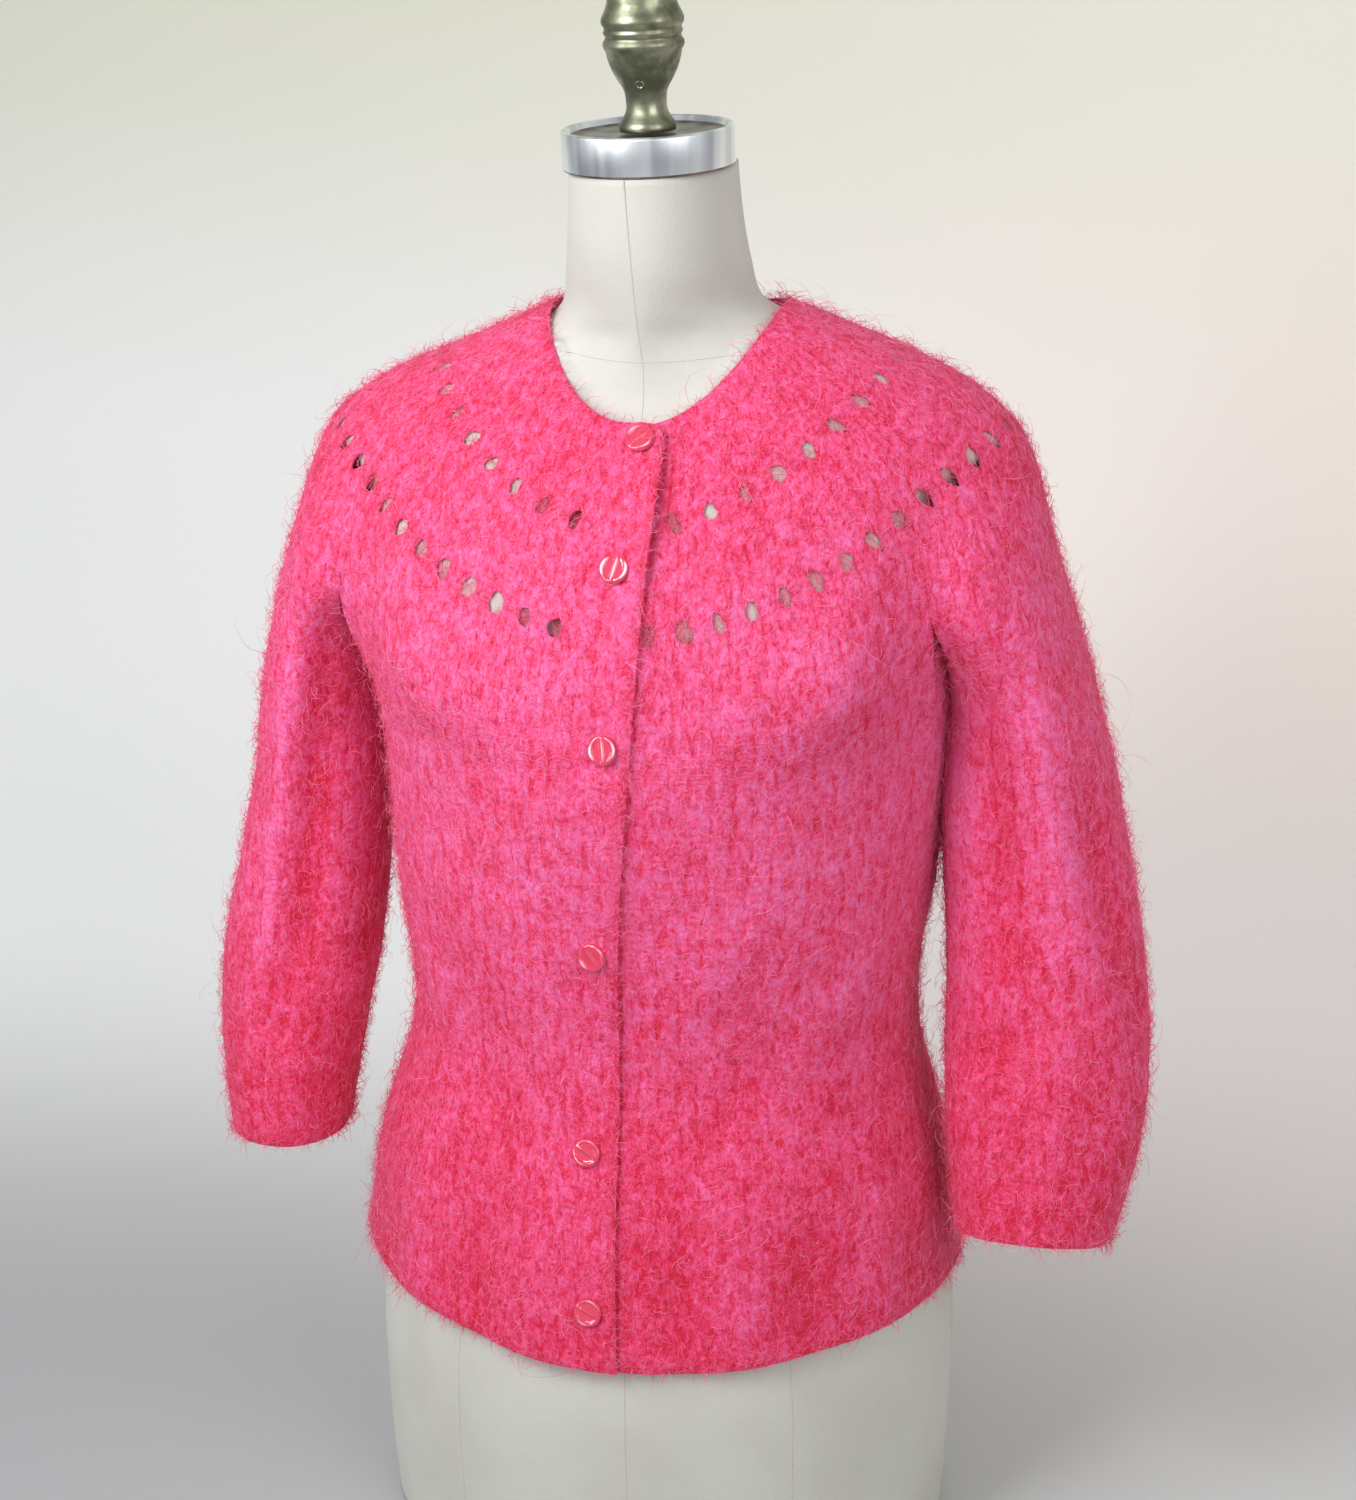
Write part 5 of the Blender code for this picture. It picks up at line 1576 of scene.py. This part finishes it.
BRASS_DARK = (0.125, 0.134, 0.085, 1.0)
BRASS_PALE = (0.34, 0.345, 0.245, 1.0)
BRASS_CREVICE_PATINA_AND_SHADE = (0.02, 0.018, 0.010, 1.0)
brass, tree, output = new_material("aged_brass")
place = add_node(tree, "ShaderNodeTexCoord").outputs["Object"]
blotches = noise_on(tree, place, 90.0, 5.0)
# Darker crevices by Pointiness: the brass's patina and painted shade.
crevice_patina_and_shade = add_node(tree, "ShaderNodeNewGeometry").outputs["Pointiness"]
colour = mix_colours(tree, ramp(tree, blotches, 0.32, 0.68), BRASS_DARK, BRASS_PALE)
colour = mix_colours(tree, ramp(tree, crevice_patina_and_shade, 0.50, 0.40), colour, BRASS_CREVICE_PATINA_AND_SHADE)
shader = principled(tree, colour, Metallic=0.9)
tree.links.new(ramp(tree, blotches, 0.3, 0.7, 0.48, 0.28), shader.inputs["Roughness"])
tree.links.new(shader.outputs[0], output.inputs[0])
print("metals:", bright.name, tarnished.name, brass.name)

# %% [markdown]
# ## Ring and finial
# A spun metal ring and a turned finial are both round, so each is a half outline spun about its
# axis, and tilted with the neck. A small set screw, spun the same way, sits on the finial's stem
# as part of its mesh.

# %% Ring and finial
RING_BOTTOM = 0.8293
RING_PROFILE = [
    (0.0000, 0.0165), (0.0150, 0.0165), (0.0300, 0.0166), (0.0400, 0.0168), (0.0418, 0.0176),
    (0.0426, 0.0198), (0.0436, 0.0206), (0.0450, 0.0206), (0.0458, 0.0200), (0.0460, 0.0190),
    (0.0460, 0.0012), (0.0457, 0.0004), (0.0448, 0.0000), (0.0200, 0.0000), (0.0000, 0.0000),
]
FINIAL_RISE = 0.0170
FINIAL_PROFILE = [
    (0.0000, 0.0916), (0.0040, 0.0912), (0.0080, 0.0895), (0.0130, 0.0851), (0.0160, 0.0786),
    (0.0170, 0.0730), (0.0176, 0.0702), (0.0182, 0.0690), (0.0182, 0.0665), (0.0190, 0.0640),
    (0.0205, 0.0608), (0.0214, 0.0590), (0.0218, 0.0572), (0.0214, 0.0554), (0.0206, 0.0544),
    (0.0202, 0.0534), (0.0206, 0.0524), (0.0210, 0.0514), (0.0204, 0.0504), (0.0198, 0.0494),
    (0.0202, 0.0480), (0.0212, 0.0468), (0.0215, 0.0450), (0.0209, 0.0434), (0.0200, 0.0421),
    (0.0194, 0.0390), (0.0186, 0.0360), (0.0173, 0.0325), (0.0156, 0.0292), (0.0138, 0.0262),
    (0.0122, 0.0238), (0.0112, 0.0212), (0.0108, 0.0180), (0.0107, 0.0136), (0.0114, 0.0108),
    (0.0126, 0.0086), (0.0140, 0.0064), (0.0148, 0.0050), (0.0150, 0.0036), (0.0150, 0.0016),
    (0.0000, 0.0016),
]
SPIN_STEPS = 96
TOP_RADIUS = 0.0415
SCREW_HEIGHT = 0.0262
SCREW_OUT = 0.0136
SCREW_PROFILE = [
    (0.0000, -0.0020), (0.0013, -0.0020), (0.0014, 0.0000), (0.0018, 0.0006), (0.0023, 0.0005),
    (0.0027, -0.0004), (0.0027, -0.0030), (0.0000, -0.0030),
]
ring_place = (
    Matrix.Translation((0.0, NECK_Y, RING_BOTTOM))
    @ Matrix.Rotation(RING_TILT_SIDEWAYS, 4, "Y") @ Matrix.Rotation(RING_TILT_FORWARD, 4, "X")
)


def spun(profile, steps=SPIN_STEPS):
    """A bmesh spun about Z from a half outline that starts and ends on the axis."""
    bm = bmesh.new()
    verts = [bm.verts.new((radius, 0.0, height)) for radius, height in profile]
    edges = [bm.edges.new(pair) for pair in zip(verts, verts[1:])]
    bmesh.ops.spin(bm, geom=verts + edges, cent=(0, 0, 0), axis=(0, 0, 1), angle=2.0 * math.pi,
                   steps=steps, use_merge=True)
    bmesh.ops.remove_doubles(bm, verts=bm.verts, dist=0.00001)
    bmesh.ops.recalc_face_normals(bm, faces=bm.faces)
    return bm


bm = spun(RING_PROFILE)
for face in bm.faces:
    centre = face.calc_center_median()
    sunken = face.normal.z > 0.5 and math.hypot(centre.x, centre.y) < TOP_RADIUS
    # Faces that look down take the darker metal as painted shade.
    face.material_index = int(sunken or face.normal.z < -0.3)
bmesh.ops.transform(bm, matrix=ring_place, verts=bm.verts)
neck_ring = finish_piece("neck_ring", bm, bright)
neck_ring.data.materials.append(tarnished)
bm = spun(FINIAL_PROFILE)
bmesh.ops.transform(bm, matrix=ring_place @ Matrix.Translation((0, 0, FINIAL_RISE)), verts=bm.verts)
screw = spun(SCREW_PROFILE, 32)
screw_place = Matrix.Translation((0.0, -SCREW_OUT, FINIAL_RISE + SCREW_HEIGHT)) @ Matrix.Rotation(
    math.radians(112.0), 4, "X"
)
bmesh.ops.transform(screw, matrix=ring_place @ screw_place, verts=screw.verts)
screw_mesh = bpy.data.meshes.new("screw")
screw.to_mesh(screw_mesh)
screw.free()
bm.from_mesh(screw_mesh)
bpy.data.meshes.remove(screw_mesh)
finial = finish_piece("finial", bm, brass)
print("ring and finial faces:", len(neck_ring.data.polygons), len(finial.data.polygons))

# %% [markdown]
# ## Button plastic
# The buttons are clear red plastic with a hard gloss, so the shader has a clear coat. On the real
# ones a window mirrors white in the raised parts. These lamps don't give all of that, so the
# attribute crest also tints the raised lines pale.

# %% Button plastic
BUTTON_RED = (0.74, 0.045, 0.115, 1.0)
BUTTON_GLINT = (1.0, 0.70, 0.84, 1.0)

plastic, tree, output = new_material("red_plastic")
crest = add_node(tree, "ShaderNodeAttribute", attribute_name="crest").outputs["Fac"]
colour = mix_colours(tree, ramp(tree, crest, 0.40, 1.00), BUTTON_RED, BUTTON_GLINT)
shader = principled(
    tree, colour, Roughness=0.10, Specular_IOR_Level=0.3, Coat_Weight=1.0, Coat_Roughness=0.03,
    Coat_IOR=1.55, Transmission_Weight=0.15, IOR=1.5,
)
tree.links.new(shader.outputs[0], output.inputs[0])
print("button plastic nodes:", len(tree.nodes))

# %% [markdown]
# ## Buttons
# A button is a spun disc whose face is then raised by a function of the place on it: one half a
# step higher, two crescents along the rim, and a leaf-shaped ridge across the middle. Each is
# turned its own way, tilted up a little, and set on the band.

# %% Buttons
Button = namedtuple("Button", "height aside degrees gleam")
BUTTONS = [
    Button(0.6930, 0.0018, 42.0, 0.75), Button(0.6315, -0.0010, 78.0, 1.25),
    Button(0.5385, 0.0018, 99.0, 1.00), Button(0.4165, 0.0020, 130.0, 0.70),
    Button(0.2952, -0.0015, 155.0, 0.62), Button(0.2072, 0.0005, 160.0, 0.66),
]
BUTTON_TILT = 0.22
BUTTON_RADIUS = 0.0082
BUTTON_LIFT = 0.0006
RIM_RISE = 1.1
RIM_PLACE = 0.80
RIM_WIDTH = 0.12
STEP_RISE = 0.7
LEAF_RISE = 0.8
LEAF_PLACE = -0.02
LEAF_WIDTH = 0.11
LEAF_END = 0.98
FACE_HEIGHT = 0.00085
MILLIMETRE = 0.001
BUTTON_OUTLINE = [(0.05 * ring, 1.2) for ring in range(13)] + [
    (0.65, 1.2), (0.70, 1.25), (0.75, 1.3), (0.80, 1.35), (0.85, 1.4), (0.90, 1.4), (0.95, 1.3), (0.98, 1.1),
    (1.00, 0.8), (0.98, 0.3), (0.86, 0.0), (0.00, 0.0),
]


def button_relief(x, y):
    """Heights in mm added to a button's face: its step, and its crescents and ridge."""
    radius, angle = math.hypot(x, y), math.atan2(y, x)
    crescent = math.sin(angle) ** 2
    rim = RIM_RISE * crescent * math.exp(-(((radius - RIM_PLACE) / RIM_WIDTH) ** 2))
    slope = min(max((0.10 - y) / 0.20, 0.0), 1.0)
    step = STEP_RISE * slope * max(0.0, 1.0 - radius**6)
    taper = max(0.0, 1.0 - (x / LEAF_END) ** 4)
    leaf = LEAF_RISE * math.exp(-(((y - LEAF_PLACE) / LEAF_WIDTH) ** 2)) * taper
    return step, max(rim, leaf)


band = skin["band"]
band_middle = 0.5 * (band[:, 4] + band[:, 5])
buttons = []
for number, button in enumerate(BUTTONS, start=1):
    y = np.interp(-button.height, -band_middle[:, 2], band_middle[:, 1])
    x = np.interp(-button.height, -band_middle[:, 2], band_middle[:, 0])
    normal = Vector(outward(np.array([[(x, y, button.height)]]))[0, 0])
    place = Vector((x + button.aside, y, button.height)) + (LAP + BUTTON_LIFT) * normal
    facing = (normal + Vector((0.0, 0.0, BUTTON_TILT))).normalized()
    bm = spun([(BUTTON_RADIUS * share, MILLIMETRE * rise) for share, rise in BUTTON_OUTLINE], 64)
    crest = bm.verts.layers.float.new("crest")
    for vert in bm.verts:
        if vert.co.z > FACE_HEIGHT:
            step, ridge = button_relief(vert.co.x / BUTTON_RADIUS, vert.co.y / BUTTON_RADIUS)
            vert.co.z += MILLIMETRE * (step + ridge)
            vert[crest] = ridge * button.gleam
    placement = (
        Matrix.Translation(place) @ facing.to_track_quat("Z", "Y").to_matrix().to_4x4()
        @ Matrix.Rotation(math.radians(button.degrees), 4, "Z")
    )
    bmesh.ops.transform(bm, matrix=placement, verts=bm.verts)
    buttons.append(finish_piece(f"clear_button_{number}", bm, plastic))
print("buttons:", len(buttons))

# %% [markdown]
# ## What each piece stands for
# Every piece rides on the one rigid body and names the solid that it stands for, which is hidden.

# %% Riding, and hiding the solids
Cut = namedtuple("Cut", "width length area")


def settle(piece, slot_name, *nodes):
    """The piece rides on the body and stands for its solids; slot_name is not used."""
    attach(piece, "root")
    if nodes:
        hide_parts(*nodes)


for name, piece in knitted.items():
    settle(piece, "mohair", name)
    strands = [fuzz[name]] if name in fuzz else []
    for strand in strands:
        settle(strand, "mohair")
settle(torso, "canvas", "form_torso")
settle(form_seams, "canvas")
settle(neck_ring, "neck_metal", "form_neck_ring")
settle(finial, "finial_metal", "form_finial")
for number, piece in enumerate(buttons, start=1):
    settle(piece, "button", f"button_{number}")
